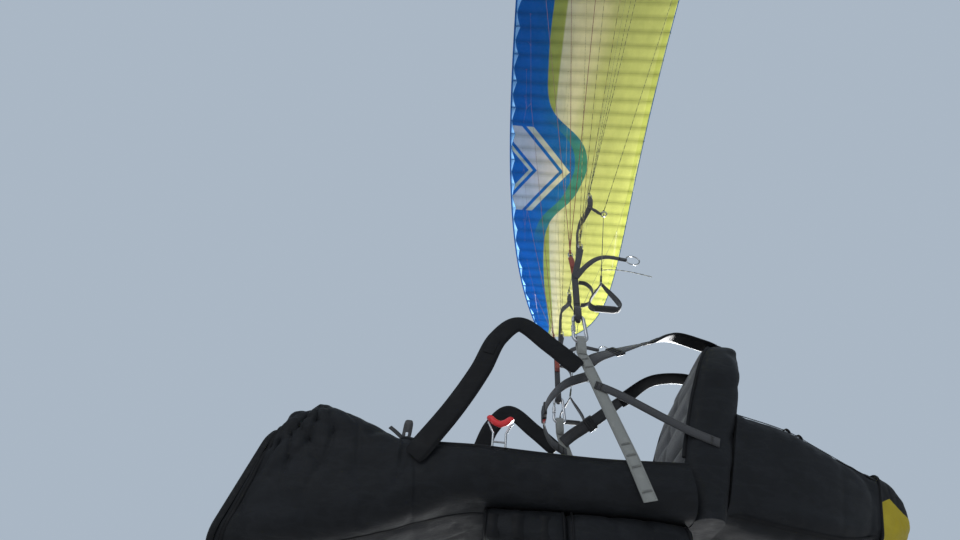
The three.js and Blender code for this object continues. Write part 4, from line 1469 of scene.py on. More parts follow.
def block(name: str, size: Sequence[float], place: Sequence[float], bevel: float, finish: Finish) -> Object:
    """A block with rounded edges.

    Args:
        name: of the object.
        size: along X, Y and Z.
        place: its centre.
        bevel: the radius of its edges.
        finish: its material.

    Returns:
        The object, at the origin.
    """
    bpy.ops.object.select_all(action="DESELECT")
    bpy.ops.mesh.primitive_cube_add(size=1, location=tuple(place))
    piece = bpy.context.active_object
    piece.name = name
    piece.scale = size
    bpy.ops.object.transform_apply(location=True, rotation=True, scale=True)
    bpy.ops.object.mode_set(mode="EDIT")
    bpy.ops.mesh.select_all(action="SELECT")
    bpy.ops.mesh.bevel(offset=bevel, segments=3, affect="EDGES")
    bpy.ops.object.mode_set(mode="OBJECT")
    piece.data.materials.append(finish.material())
    return piece


def wire_loop(centre: Rows, radius: float, rod: float, sides: tuple[int, int], lean: float = 0.0) -> Object:
    """A steel wire ring.

    Args:
        centre: its middle.
        radius: from its middle to the wire's.
        rod: the wire's radius.
        sides: round the ring and round the wire.
        lean: degrees that it is turned about X; unturned it lies flat.

    Returns:
        The ring, at the origin.
    """
    bpy.ops.object.select_all(action="DESELECT")
    bpy.ops.mesh.primitive_torus_add(
        major_radius=radius, minor_radius=rod, major_segments=sides[0], minor_segments=sides[1],
        location=tuple(centre), rotation=(math.radians(lean), 0, 0),
    )
    ring = bpy.context.active_object
    bpy.ops.object.transform_apply(location=True, rotation=True, scale=True)
    ring.data.materials.append(STEEL.material())
    return ring


def pick_faces(piece: Object, wanted: Callable[[MeshPolygon], bool]) -> None:
    """Enters edit mode with only the wanted faces selected."""
    select_only(piece)
    bpy.ops.object.mode_set(mode="EDIT")
    bpy.ops.mesh.select_mode(type="FACE")
    bpy.ops.mesh.select_all(action="DESELECT")
    bpy.ops.object.mode_set(mode="OBJECT")
    for face in piece.data.polygons:
        face.select = bool(wanted(face))
    bpy.ops.object.mode_set(mode="EDIT")


def sink(piece: Object, inset: float, depth: float, wanted: Callable, apart: bool = False) -> Object:
    """Insets the wanted faces and sinks them, or raises them where the depth is positive."""
    pick_faces(piece, wanted)
    bpy.ops.mesh.inset(thickness=inset, depth=depth, use_individual=apart)
    bpy.ops.object.mode_set(mode="OBJECT")
    return piece


def joined(name: str, pieces: Sequence[Object]) -> Object:
    """Several objects made one, with all their materials."""
    select_only(pieces[0])
    for piece in pieces[1:]:
        piece.select_set(True)
    bpy.ops.object.join()
    pieces[0].name = name
    return pieces[0]


def ready(piece: Object, body: Body, slot: Slot, nodes: Sequence[str] = ()) -> Object:
    """Finishes a piece that already has its materials."""
    return finish_piece(piece, (), body, slot, nodes)


def turned(
    name: str, start: Sequence[float], end: Sequence[float], profile: Sequence[tuple[float, float]],
    finish: Finish, sides: int = 20
) -> Object:
    """A turned piece between two places.

    Args:
        name: of the object.
        start: one end of its axis.
        end: the other end.
        profile: pairs of share of the way and radius.
        finish: its material.
        sides: of its section.

    Returns:
        The object.
    """
    a, b = np.asarray(start, float), np.asarray(end, float)
    tilt = Vector(b - a).to_track_quat("Z", "Y").to_euler()
    moves, before = [], profile[0]
    for share, radius in profile[1:]:
        moves.append(Straight(tuple((b - a) * (share - before[0])), radius / before[1]))
        before = (share, radius)
    degrees = tuple(math.degrees(angle) for angle in tilt)
    return drawn(name, a + (b - a) * profile[0][0], degrees, profile[0][1], moves, finish, sides)


def loop_round(legs: Sequence[tuple[float, float]]) -> list[tuple[float, float, float]]:
    """A strap's way round a rod over the carabiners' Y, from pairs of reach to the side and height."""
    there = [(0, CARABINER_Y - reach, z) for reach, z in legs]
    return there + [(0, CARABINER_Y + reach, z) for reach, z in legs[-2::-1]]


def barrel(end: float, middle: float, taper: float) -> list[tuple[float, float]]:
    """The profile of a turned piece that is drawn in over a share of its length at both ends."""
    return [(0, end), (taper, middle), (1 - taper, middle), (1, end)]


def bar_tack(place: Rows, ahead: Rows, out: Rows, width: float, length: float = 0.006) -> list[Matrix]:
    """A dense bar of stitches across a strap."""
    across = np.cross(unit(out), unit(ahead))
    steps = np.arange(-width / 2, width / 2, 0.0011)
    places = []
    for k, step in enumerate(steps):
        lean = across * (0.25 if k % 2 else -0.25)
        places.append(frame_at(place + across * step, unit(ahead) + lean, out, length))
    return places


@dataclass
class OneSide:
    """A part that is there once on each side."""

    side: Side

    def name(self, part: str) -> str:
        """A piece's or a node's name on this side."""
        return f"{part}_{self.side.suffix}"

    def at(self, points: Sequence) -> Rows:
        """Points given from the carabiners."""
        return self.side.hung(points)

    @property
    def outer(self) -> Rows:
        """The direction away from the flyer."""
        return LEFTWARD * self.side.value

    def dress(
        self,
        heap: Heap,
        name: str,
        node: str,
        finishes: Sequence[Finish],
        body: Body,
        slot: Slot,
        smooth: float = 40.0,
    ) -> Object:
        """Makes a heap the piece that stands for a node on this side."""
        return heap.make(self.name(name), finishes, body, slot, [self.name(node)], smooth)


# Risers and brakes
@dataclass
class Riser(OneSide):
    """One side's riser: webs, links, ring and the strap that streams back."""

    loop_half: float = 0.011
    web: float = 0.022
    thick: float = 0.004
    fork: Place = (-0.002, 0.236, 0.21)
    rear_foot: tuple = (
        (-0.010, 0.2395, 0.250), (-0.016, 0.2415, 0.290), (-0.023, 0.241, 0.376), (-0.031, 0.239, 0.465),
        (-0.0385, 0.2405, 0.495),
    )
    rear_narrow: float = 0.010
    ring_radius: float = 0.011
    ring_rod: float = 0.0025
    rod_rise: float = 0.0028
    eye_rise: float = 0.0033
    eye_thick: float = 0.0016
    red_width: float = 0.02
    red_thick: float = 0.0034
    red_lift: float = 0.0018
    tab_width: float = 0.02
    tab_thick: float = 0.0026
    slack_width: float = 0.018
    slack_thick: float = 0.003
    wire_radius: float = 0.0235
    wire_rod: float = 0.0022
    rear_knee: Place = (-0.051, 0.250, 0.526)
    tee: Place = (-0.083, 0.277, 0.592)
    red_path: tuple = ((-0.002, 0.2294, 0.14), (-0.002, 0.2316, 0.218), (0.006, 0.238, 0.3))
    tab_path: tuple = (
        (-0.004, 0.2392, 0.19), (-0.042, 0.249, 0.244), (-0.082, 0.253, 0.284), (-0.12, 0.254, 0.299),
        (-0.185, 0.254, 0.29),
    )
    slack: tuple = (
        (-0.0132, 0.172), (-0.036, 0.168), (-0.055, 0.14), (-0.046, 0.084), (-0.028, 0.066),
        (-0.0122, 0.062)
    )

    def build(self) -> None:
        """Models and dresses the riser."""
        self.body()
        self.red_web()
        self.tab()
        self.slack_loop()
        for row in LINE_ROWS:
            self.link(row)
        self.ring()

    def eye(
        self, heap: Heap, rod: Rows, ahead: Rows, out: Rows, width: float, throat: float = 0.0105,
        lap: float = 0.05
    ) -> None:
        """The web's end, folded round a rod and sewn back on itself.

        Args:
            heap: what it is added to.
            rod: the middle of the rod that it goes round.
            ahead: the web's direction there.
            out: the direction of its flat side.
            width: across the web.
            throat: across it where it goes round the rod.
            lap: how far it is sewn back.
        """
        ahead, rise = unit(ahead), self.eye_rise
        over = unit(ahead - out * (ahead @ out))
        turn = np.linspace(0, math.pi, 9)[:, None]
        arc = rod + out * np.cos(turn) * rise + over * np.sin(turn) * rise
        end = rod - ahead * self.rod_rise
        legs = [end - ahead * lap + out * 0.0034, end - ahead * lap * 0.24 + out * 0.0034]
        back = [end - ahead * lap * 0.16 - out * 0.002, end - ahead * lap * 0.4]
        path = np.vstack([legs, arc, back])
        face = np.vstack([[out] * 2, (arc - rod) / rise, [-out] * 2])
        widths = np.concatenate([[width, width * 0.92], np.full(9, throat), [width * 0.8, width]])
        heap.band(path, face, widths, self.eye_thick)

    def body(self) -> None:
        """The black webs, from the loop round the carabiner up to the B and C links and the brake ring."""
        heap, thread = Heap(), []
        h, y = self.loop_half, CARABINER_Y
        legs = [(0.0035, 0.054), (h, 0.042), (h, 0.01), (0.006, 0.0012), (0, 0.0)]
        path = spline(self.at(loop_round(legs)), 40)
        centre = self.at([(0, y, 0.02)])[0]
        heap.band(path, path - centre, 0.02, self.thick)
        fork = self.at([self.fork])[0]
        foot = self.at([(0, y, 0.048)])[0]
        heap.band(np.array([foot, (foot + fork) / 2, fork]), self.outer, self.web, self.thick)
        thread += [m for share in (0.06, 0.14, 0.88, 0.96) for m in self.tacks(foot, fork, share)]
        thread += self.edges(foot, fork, self.web)
        start, end = fork - UP * 0.014, self.at([LINE_ROWS[1].end])[0]
        bow = (start + end) / 2 + self.outer * 0.003
        common = spline(np.array([start, bow, end - unit(end - start) * 0.004]), 14)
        heap.band(common, self.outer, self.web, self.thick)
        self.eye(heap, end + UP * self.rod_rise, end - start, self.outer, self.web)
        thread += self.tacks(start, end, 0.97 - 0.045 / np.linalg.norm(end - start))
        thread += self.edges(start, end, self.web)
        thread += self.rear_web(heap, start) + self.branch(heap)
        heap.sew(thread)
        self.dress(heap, "riser_webs", "riser_body", [BLACK_WEB, GREY_THREAD], Body.WING, Slot.BLACK_WEB)
        ends = self.at([(0, y - 0.0085, 0.0012), (0, y + 0.0085, 0.0012)])
        profile = [(0, 0.0075), (0.06, 0.0088), (0.5, 0.0082), (0.94, 0.0088), (1, 0.0075)]
        saddle = turned(self.name("loop_saddle"), *ends, profile, RUBBER)
        ready(saddle, Body.WING, Slot.DARK_PLASTIC)

    def rear_web(self, heap: Heap, start: Rows) -> list[Matrix]:
        """Adds the C web, narrow up to its knees and wide above them, and returns its stitches."""
        tee, end = self.at([self.tee, LINE_ROWS[2].end])
        knee = self.at([self.rear_knee])[0]
        last = end - unit(end - tee) * 0.004
        path = spline(np.vstack([[start], self.at(self.rear_foot), [knee, tee, last]]), 72)
        height = path[:, 2] - HANG[2]
        width = np.interp(height, [0.485, self.rear_knee[2]], [self.rear_narrow, self.web])
        heap.band(path, self.outer, width, self.thick)
        self.eye(heap, end + UP * self.rod_rise, end - tee, self.outer, self.web, lap=0.03)
        above = path[height > self.rear_knee[2]]
        thread = self.tacks(tee, end, 0.2) + self.tacks(knee, tee, 0.12) + self.tacks(knee, tee, 0.9)
        across = unit(np.cross(self.outer, headings(above)))
        return thread + stitch_pair(above, across, self.outer, self.web / 2 - 0.003, 0.0021, WEB_STITCH)

    def branch(self, heap: Heap) -> list[Matrix]:
        """Adds the branch that turns from the C web to hold the brake ring, and returns its stitches."""
        tee, rod = self.at([self.tee])[0], self.at([PULLEY])[0] + AHEAD * self.ring_radius
        ahead = unit(rod - tee)
        out = unit(np.cross(ahead, LEFTWARD))
        turn = np.linspace(0, 1, 20)[:, None]
        path = tee + (rod - ahead * 0.003 - tee) * turn
        twist = np.clip(1.6 * turn - 0.3, 0, 1)
        face = unit(self.outer * (1 - twist) + out * twist)
        heap.band(path, face, np.interp(turn[:, 0], [0.0, 0.8, 1.0], [0.0135, 0.012, 0.009]), 0.003)
        self.eye(heap, rod, ahead, out, 0.011, throat=0.007, lap=0.02)
        thread = bar_tack(path[3] + self.outer * 0.0017, ahead, self.outer, 0.01)
        return thread + bar_tack(path[15] + out * 0.0042, ahead, out, 0.009)

    def tacks(
        self, start: Rows, end: Rows, share: float, width: float = 0.016, lift: float = 0.0022
    ) -> list[Matrix]:
        """Bars of stitches on both faces of a web."""
        place, ahead = start + (end - start) * share, end - start
        return [
            m for out in (self.outer, -self.outer) for m in bar_tack(place + out * lift, ahead, out, width)
        ]

    def edges(self, start: Rows, end: Rows, width: float, lift: float = 0.0021) -> list[Matrix]:
        """A row of stitches along both edges of a web's outer face."""
        across = unit(np.cross(self.outer, end - start))
        return stitch_pair(np.array([start, end]), across, self.outer, width / 2 - 0.003, lift, WEB_STITCH)

    def red_web(self) -> None:
        """The red front web, sewn to the inner face of the common web."""
        heap = Heap()
        path = spline(self.at(self.red_path), 16)
        heap.band(path, self.outer, self.red_width, self.red_thick)
        self.eye(heap, path[-1] + UP * self.rod_rise, path[-1] - path[-2], self.outer, self.red_width)
        thread = [m for k in (0.04, 0.12, 0.2) for m in self.tacks(path[0], path[8], k, 0.014, 0.0019)]
        for start, end in ((path[0], path[8]), (path[9], path[-1])):
            thread += self.edges(start, end, self.red_width, self.red_lift)
        thread += self.tacks(path[8], path[-1], 0.45, 0.014, 0.0019)
        heap.sew(thread)
        self.dress(heap, "front_web", "a_riser", [RED_WEB, WHITE_THREAD], Body.WING, Slot.RED_WEB)

    def tab(self) -> None:
        """The web that streams back and ends at a wire ring, with a small patch at its end."""
        heap, thread = Heap(), []
        path = spline(self.at(self.tab_path), 28)
        heap.band(path, self.outer, self.tab_width, self.tab_thick)
        across = unit(np.cross(self.outer, headings(path)))
        thread += stitch_pair(path, across, self.outer, 0.0072, 0.0014, WEB_STITCH)
        ahead = unit(path[-1] - path[-2])
        thread += bar_tack(path[-3] + self.outer * 0.0016, ahead, self.outer, 0.014)
        patch = np.array([path[-1] - ahead * 0.014, path[-1] - ahead * 0.002]) + self.outer * 0.0018
        heap.band(patch, self.outer, 0.014, 0.0008, tag=2)
        grip = path[-1] + ahead * 0.0005
        turn = np.linspace(-math.pi / 2, math.pi / 2, 9)[:, None]
        arc = grip + ahead * (0.002 + 0.0034 * np.cos(turn)) + self.outer * 0.0034 * np.sin(turn)
        legs = np.vstack(
            [[grip - ahead * 0.02 - self.outer * 0.0022], arc, [grip - ahead * 0.02 + self.outer * 0.0022]]
        )
        heap.band(legs, legs - grip, 0.011, 0.0014)
        heap.sew(thread)
        self.dress(
            heap, "streaming_web", "riser_tab", [BLACK_WEB, GREY_THREAD, PATCH], Body.WING, Slot.BLACK_WEB
        )
        self.wire_ring(path[-1] - AHEAD * 0.026)

    def wire_ring(self, centre: Rows) -> None:
        """The wire ring, welded on its far side."""
        radius, rod = self.wire_radius, self.wire_rod
        ring = wire_loop(centre, radius, rod, (56, 10), 90)
        weld = turned("ring_weld", centre + (-radius, 0, -0.004), centre + (-radius, 0, 0.004),
                      barrel(rod, rod * 1.25, 0.3), STEEL)
        ready(joined(self.name("wire_ring"), [ring, weld]), Body.WING, Slot.STEEL, [self.name("tab_ring")])

    def slack_loop(self) -> None:
        """The slack loop behind the common web."""
        heap = Heap()
        path = spline(self.at([(x, 0.234, z) for x, z in self.slack]), 36)
        middle = path.mean(axis=0)
        heap.band(path, path - middle, self.slack_width, self.slack_thick)
        heap.sew(stitch_pair(path, LEFTWARD, unit(path - middle), 0.006, 0.0017, WEB_STITCH))
        self.dress(heap, "slack_web", "riser_loop", [BLACK_WEB, GREY_THREAD], Body.WING, Slot.BLACK_WEB)

    def link(self, row: LineRow) -> None:
        """A steel link with its screwed sleeve and the rubber that keeps the lines straight."""
        rod, radius, half = 0.0022, 0.007, 0.007
        x, y, z = self.at([row.end])[0] + UP * (half + radius + rod + SEAT_GAP)
        moves = [
            Straight((0, 0, half)), Bend((x, y, z + half), (0, -1, 0), 180, 8), Straight((0, 0, -2 * half)),
            Bend((x, y, z - half), (0, -1, 0), 180, 8), Straight((0, 0, half)),
        ]
        bar = drawn("bar", (x + radius, y, z), (0, 0, 0), rod, moves, STEEL, 12, closed=True)
        nut = turned("sleeve", *((x + radius, y, z + end) for end in (-0.005, 0.005)),
                     barrel(0.0029, 0.0034, 0.1), STEEL, 6)
        keeper = turned("keeper", *((x, y + end, z - half - 0.0002) for end in (-0.0045, 0.0045)),
                        barrel(0.0034, 0.0044, 0.15), RUBBER, 14)
        piece = joined(self.name(f"{row.name}_link"), [bar, nut, keeper])
        ready(piece, Body.WING, Slot.STEEL, [self.name(f"{row.name}_maillon")])

    def ring(self) -> None:
        """The brake ring, with the groove that its line runs in."""
        centre = self.at([PULLEY])[0]
        ring = wire_loop(centre, self.ring_radius, self.ring_rod, (48, 12))
        inner = self.ring_radius - 0.0015
        sink(
            ring, 0.0002, -0.0004,
            lambda face: math.hypot(face.center[0] - centre[0], face.center[1] - centre[1]) < inner
        )
        ready(ring, Body.WING, Slot.STEEL, [self.name("brake_ring")])


@dataclass
class Brake(OneSide):
    """One side's brake: the line from the ring, the handle and the line's stiff tail."""

    pulley: Place = (-0.128, 0.294, 0.5213)
    top: Place = (-0.063, 0.3165, 0.077)
    outline: tuple = (
        (0.0, 0.0), (-0.012, -0.02), (-0.045, -0.084), (-0.0445, -0.099), (-0.035, -0.1075), (0, -0.1082),
        (0.035, -0.1075), (0.0445, -0.099), (0.045, -0.084), (0.012, -0.02),
    )
    tail: tuple = (
        (-0.0757, 0.3124, 0.1532), (-0.098, 0.311, 0.1595), (-0.135, 0.31, 0.1615), (-0.176, 0.31, 0.156),
        (-0.234, 0.31, 0.1405)
    )
    thick: float = 0.004
    middle_drop: float = 0.066
    grip_half: float = 0.034
    grip_drop: float = 0.1081
    grip_radius: float = 0.0112
    tail_radius: float = 0.0015
    line_radius: float = 0.0013

    def build(self) -> None:
        """Models and dresses the brake."""
        body = Body.brake(self.side)
        self.handle(body)
        self.line(body)
        self.stiff_tail(body)

    def handle(self, body: Body) -> None:
        """A webbing triangle with a padded grip, a swivel at its top and a press stud."""
        heap, thread = Heap(), []
        top = np.array(self.top)
        corners = self.at([top + (x, 0, z) for x, z in self.outline])
        wrapped = np.vstack([corners[-2:], corners, corners[:3]])
        path = spline(wrapped, 130)
        start = int(np.argmin(np.linalg.norm(path - corners[0], axis=1)[:65]))
        stop = 65 + int(np.argmin(np.linalg.norm(path - corners[0], axis=1)[65:]))
        loop = path[start:stop]
        middle = self.at([top + (0, 0, -self.middle_drop)])[0]
        down = self.at([top])[0][2] - loop[:, 2]
        width = np.interp(down, [0.0, 0.03, 0.07], [0.012, 0.02, 0.025])
        heap.band(loop, loop - middle, width, self.thick, closed=True)
        legs = loop[(down > 0.03) & (down < 0.088)]
        for leg in (legs[: len(legs) // 2], legs[len(legs) // 2 :]):
            thread += stitch_pair(leg, LEFTWARD, unit(leg - middle), 0.0085, 0.0022, WEB_STITCH)
        grip = np.linspace((-self.grip_half, 0, -self.grip_drop), (self.grip_half, 0, -self.grip_drop), 25)
        grip_path = self.at(top + grip)
        bow = np.sin(np.linspace(0.12, math.pi - 0.12, 25))
        swell = self.grip_radius * np.clip(1.25 * bow**0.28, 0, 1)
        rows, texture = tube_rows(grip_path, swell, 16)
        flat = (rows - grip_path[:, None]) * (1, 1.22, 0.62)
        heap.grid(grip_path[:, None] + flat, texture * (0.05, 1), caps=True, tag=2)
        heap.sew(thread)
        self.dress(
            heap, "brake_grip", "brake_handle", [BLACK_WEB, GREY_THREAD, SMOOTH_CLOTH], body, Slot.BLACK_WEB
        )
        peak = self.at([top])[0]
        swivel = turned("swivel", peak - UP * 0.004, peak + UP * 0.010,
                        [(0, 0.0035), (0.1, 0.005), (0.45, 0.005), (0.5, 0.0032), (0.6, 0.0032),
                         (0.65, 0.0042), (0.9, 0.004), (1, 0.002)], STEEL)
        stud_at = peak - UP * 0.034 + AHEAD * 0.0205
        stud = turned(
            "stud", stud_at, stud_at + AHEAD * 0.0045,
            [(0, 0.0065), (0.55, 0.0062), (0.9, 0.0045), (1, 0.002)], STEEL
        )
        ready(joined(self.name("brake_swivel"), [swivel, stud]), body, Slot.STEEL)

    def line(self, body: Body) -> None:
        """The line from the ring to the handle, and the knots at its end."""
        start, end = self.at([self.pulley, np.array(self.top) + (0, 0, 0.0085)])
        path = start + (end - start) * np.linspace(0, 1, 60)[:, None]
        piece = Heap().tube(path, self.line_radius, 8).build(self.name("brake_pull_line"))
        piece.data.materials.append(DARK_LINE.material())
        select_only(piece)
        bpy.ops.object.shade_smooth_by_angle(angle=math.radians(50))
        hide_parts(self.name("brake_line"))
        tuple(start)
        tuple(end)
        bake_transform(piece)
        knots = Heap()
        tie = end + (start - end) * 0.147
        ahead = unit(start - end)
        sleeve = end + ahead * np.array([0.002, 0.004, 0.012, 0.02, 0.028, 0.036, 0.038])[:, None]
        knots.tube(sleeve, np.array([0.0022, 0.0033, 0.0036, 0.0032, 0.0035, 0.0031, 0.002]), 10)
        for step in (0.0, 0.0055, 0.011):
            knots.tube(tie + ahead * (np.array([-0.0025, -0.0012, 0.0, 0.0012, 0.0025]) + step)[:, None],
                       np.array([0.0015, 0.0028, 0.0031, 0.0028, 0.0015]), 10)
        eye = end + np.array([(0, 0, -0.002), (0.002, 0, 0.004), (0.0005, 0, 0.011), (-0.0005, 0, 0.02)])
        knots.tube(spline(eye, 12), 0.0015, 8)
        knots.make(self.name("brake_knot"), [DARK_LINE], body, Slot.DARK_CORD)

    def stiff_tail(self, body: Body) -> None:
        """The line's free end, stiffened, that streams back from its knot."""
        path = spline(self.at(self.tail), 40)
        piece = Heap().tube(path, self.tail_radius, 10).build(self.name("brake_line_tail"))
        finish_piece(piece, [TAIL_LINE], body, Slot.DARK_CORD, [self.name("brake_tail")])
        float(run_lengths(path)[-1])


# The harness
@dataclass(frozen=True)
class BodyShape:
    """A soft body lofted through rounded sections: top x, bottom x, top z, bottom z, half width."""

    stations: tuple[tuple[float, float, float, float, float], ...]
    corner: float

    @property
    def knots(self) -> Rows:
        """How far along the body each station lies."""
        table = np.array(self.stations)
        middles = np.stack([table[:, :2].mean(1), table[:, 2:4].mean(1)], -1)
        return run_lengths(middles)

    def way_at(self, x: Rows) -> Rows:
        """How far along the body a place along X lies."""
        middles = np.array(self.stations)[:, :2].mean(1)
        order = np.argsort(middles)
        return np.interp(x, middles[order], self.knots[order])

    def half_girth(self, way: Rows) -> Rows:
        """The distance round the section from the top's middle to the bottom's."""
        top_x, bottom_x, top_z, bottom_z, half = steady(self.knots, self.stations, np.ravel(way)).T
        high = np.hypot(top_x - bottom_x, top_z - bottom_z) / 2
        corner = np.minimum(self.corner, 0.98 * np.minimum(half, high))
        return 2 * (half - corner) + math.pi * corner + 2 * (high - corner)

    def points(self, way: Rows, share: Rows, proud: Rows = 0.0) -> Rows:
        """Places on the body.

        Args:
            way: how far along it, one for each row.
            share: round it, from 0 at the top's middle to 1 at the bottom's, negative on the right.
            proud: metres further out.

        Returns:
            The points, in the frame.
        """
        values = steady(self.knots, self.stations, np.ravel(way))
        top_x, bottom_x, top_z, bottom_z, half = values.T[..., None]
        high = np.hypot(top_x - bottom_x, top_z - bottom_z) / 2
        corner = np.minimum(self.corner, 0.98 * np.minimum(half, high))
        flat, side, arc = half - corner, high - corner, corner * math.pi / 2
        total = 2 * (flat + arc + side)
        run = np.abs(share) * total
        under = run > total / 2
        run = np.where(under, total - run, run)
        turn = np.clip((run - flat) / corner, 0, math.pi / 2)
        y = np.minimum(run, flat) + corner * np.sin(turn)
        v = side - np.clip(run - flat - arc, 0, None) + corner * np.cos(turn)
        out_y, out_v = np.sin(turn), np.cos(turn)
        y, v = y + proud * out_y, v + proud * out_v
        v = np.where(under, -v, v)
        x_axis, z_axis = (top_x - bottom_x) / (2 * high), (top_z - bottom_z) / (2 * high)
        x = (top_x + bottom_x) / 2 + v * x_axis
        z = (top_z + bottom_z) / 2 + v * z_axis
        return np.stack([x, y * np.sign(share), z], -1) + HANG

    def around(self, way: Rows, columns: int) -> Rows:
        """Shares round the closed section, from its top's middle and back to it, for each place along."""
        left = np.linspace(OFF_MIDDLE, 1, columns)
        shares = np.concatenate([left, -left[-2::-1]])
        return np.broadcast_to(shares, (len(way), shares.size))

    def skin(self, name: str, way: Rows, share: Rows, proud: Rows = 0.0) -> tuple[Object, Rows]:
        """A closed piece over the body, and its rows of points."""
        rows = self.points(way, share, proud)
        return Heap().grid(rows, self.texture(way, share), caps=True).build(name), rows

    def texture(self, way: Rows, share: Rows) -> Rows:
        """Texture places in metres, round and along."""
        girth = self.half_girth(way)[:, None]
        return np.stack([share * girth, np.broadcast_to(np.ravel(way)[:, None], share.shape)], -1)


def ridged(place: Rows, freq: tuple[float, float, float], turn: float, seed: float) -> Rows:
    """Long soft folds from 0 to 1, bent by a slow wobble.

    Args:
        place: points in metres.
        freq: folds to a metre along X, Y and Z.
        turn: degrees that the folds lean in the XZ plane.
        seed: shifts the pattern.

    Returns:
        The height at each point.
    """
    lean = math.radians(turn)
    x = place[..., 0] * math.cos(lean) + place[..., 2] * math.sin(lean)
    z = place[..., 2] * math.cos(lean) - place[..., 0] * math.sin(lean)
    y = place[..., 1]
    wobble = np.sin(x * 7.1 + seed) + 0.6 * np.sin(z * 11.3 + y * 5.0 + 2 * seed)
    wobble = wobble + 0.4 * np.sin(y * 17.0 - x * 9.0 + seed)
    phase = 2 * math.pi * (x * freq[0] + y * freq[1] + z * freq[2]) + 1.3 * wobble + seed
    return (1 - np.abs(np.sin(phase / 2))) ** 2 * (0.55 + 0.45 * np.sin(x * 4.3 + z * 6.1 + seed))


def rays(place: Rows, centre: Sequence[float], count: float, reach: float, seed: float) -> Rows:
    """Folds that run out from a place where the cloth is pulled, from 0 to 1.

    Args:
        place: points in metres.
        centre: x and z of the pull, from the carabiners.
        count: folds round a whole turn.
        reach: metres until they fade.
        seed: shifts the pattern.

    Returns:
        The height at each point.
    """
    x, z = place[..., 0] - centre[0], place[..., 2] - HANG[2] - centre[1]
    away = np.hypot(x, z)
    turn = np.arctan2(z, x) + 0.25 * np.sin(away * 14 + seed)
    fold = (1 - np.abs(np.sin(turn * count / 2 + seed))) ** 2
    return fold * np.exp(-((away / reach) ** 2)) * np.clip(away / 0.07, 0, 1)


POD_HALF = 0.2277
POD_SHAPE = BodyShape((
    (-0.230, -0.230, -0.406, -0.540, POD_HALF),
    (0.000, 0.000, -0.416, -0.545, POD_HALF),
    (0.250, 0.250, -0.412, -0.550, POD_HALF),
    (0.430, 0.410, -0.406, -0.590, 0.210),
    (0.486, 0.462, -0.400, -0.612, 0.204),
    (0.588, 0.566, -0.363, -0.645, 0.194),
    (0.662, 0.650, -0.334, -0.662, 0.188),
    (0.724, 0.716, -0.323, -0.674, 0.182),
    (0.744, 0.748, -0.341, -0.680, 0.178),
    (0.788, 0.800, -0.352, -0.690, 0.172),
    (0.804, 0.838, -0.400, -0.698, 0.166),
), 0.060)


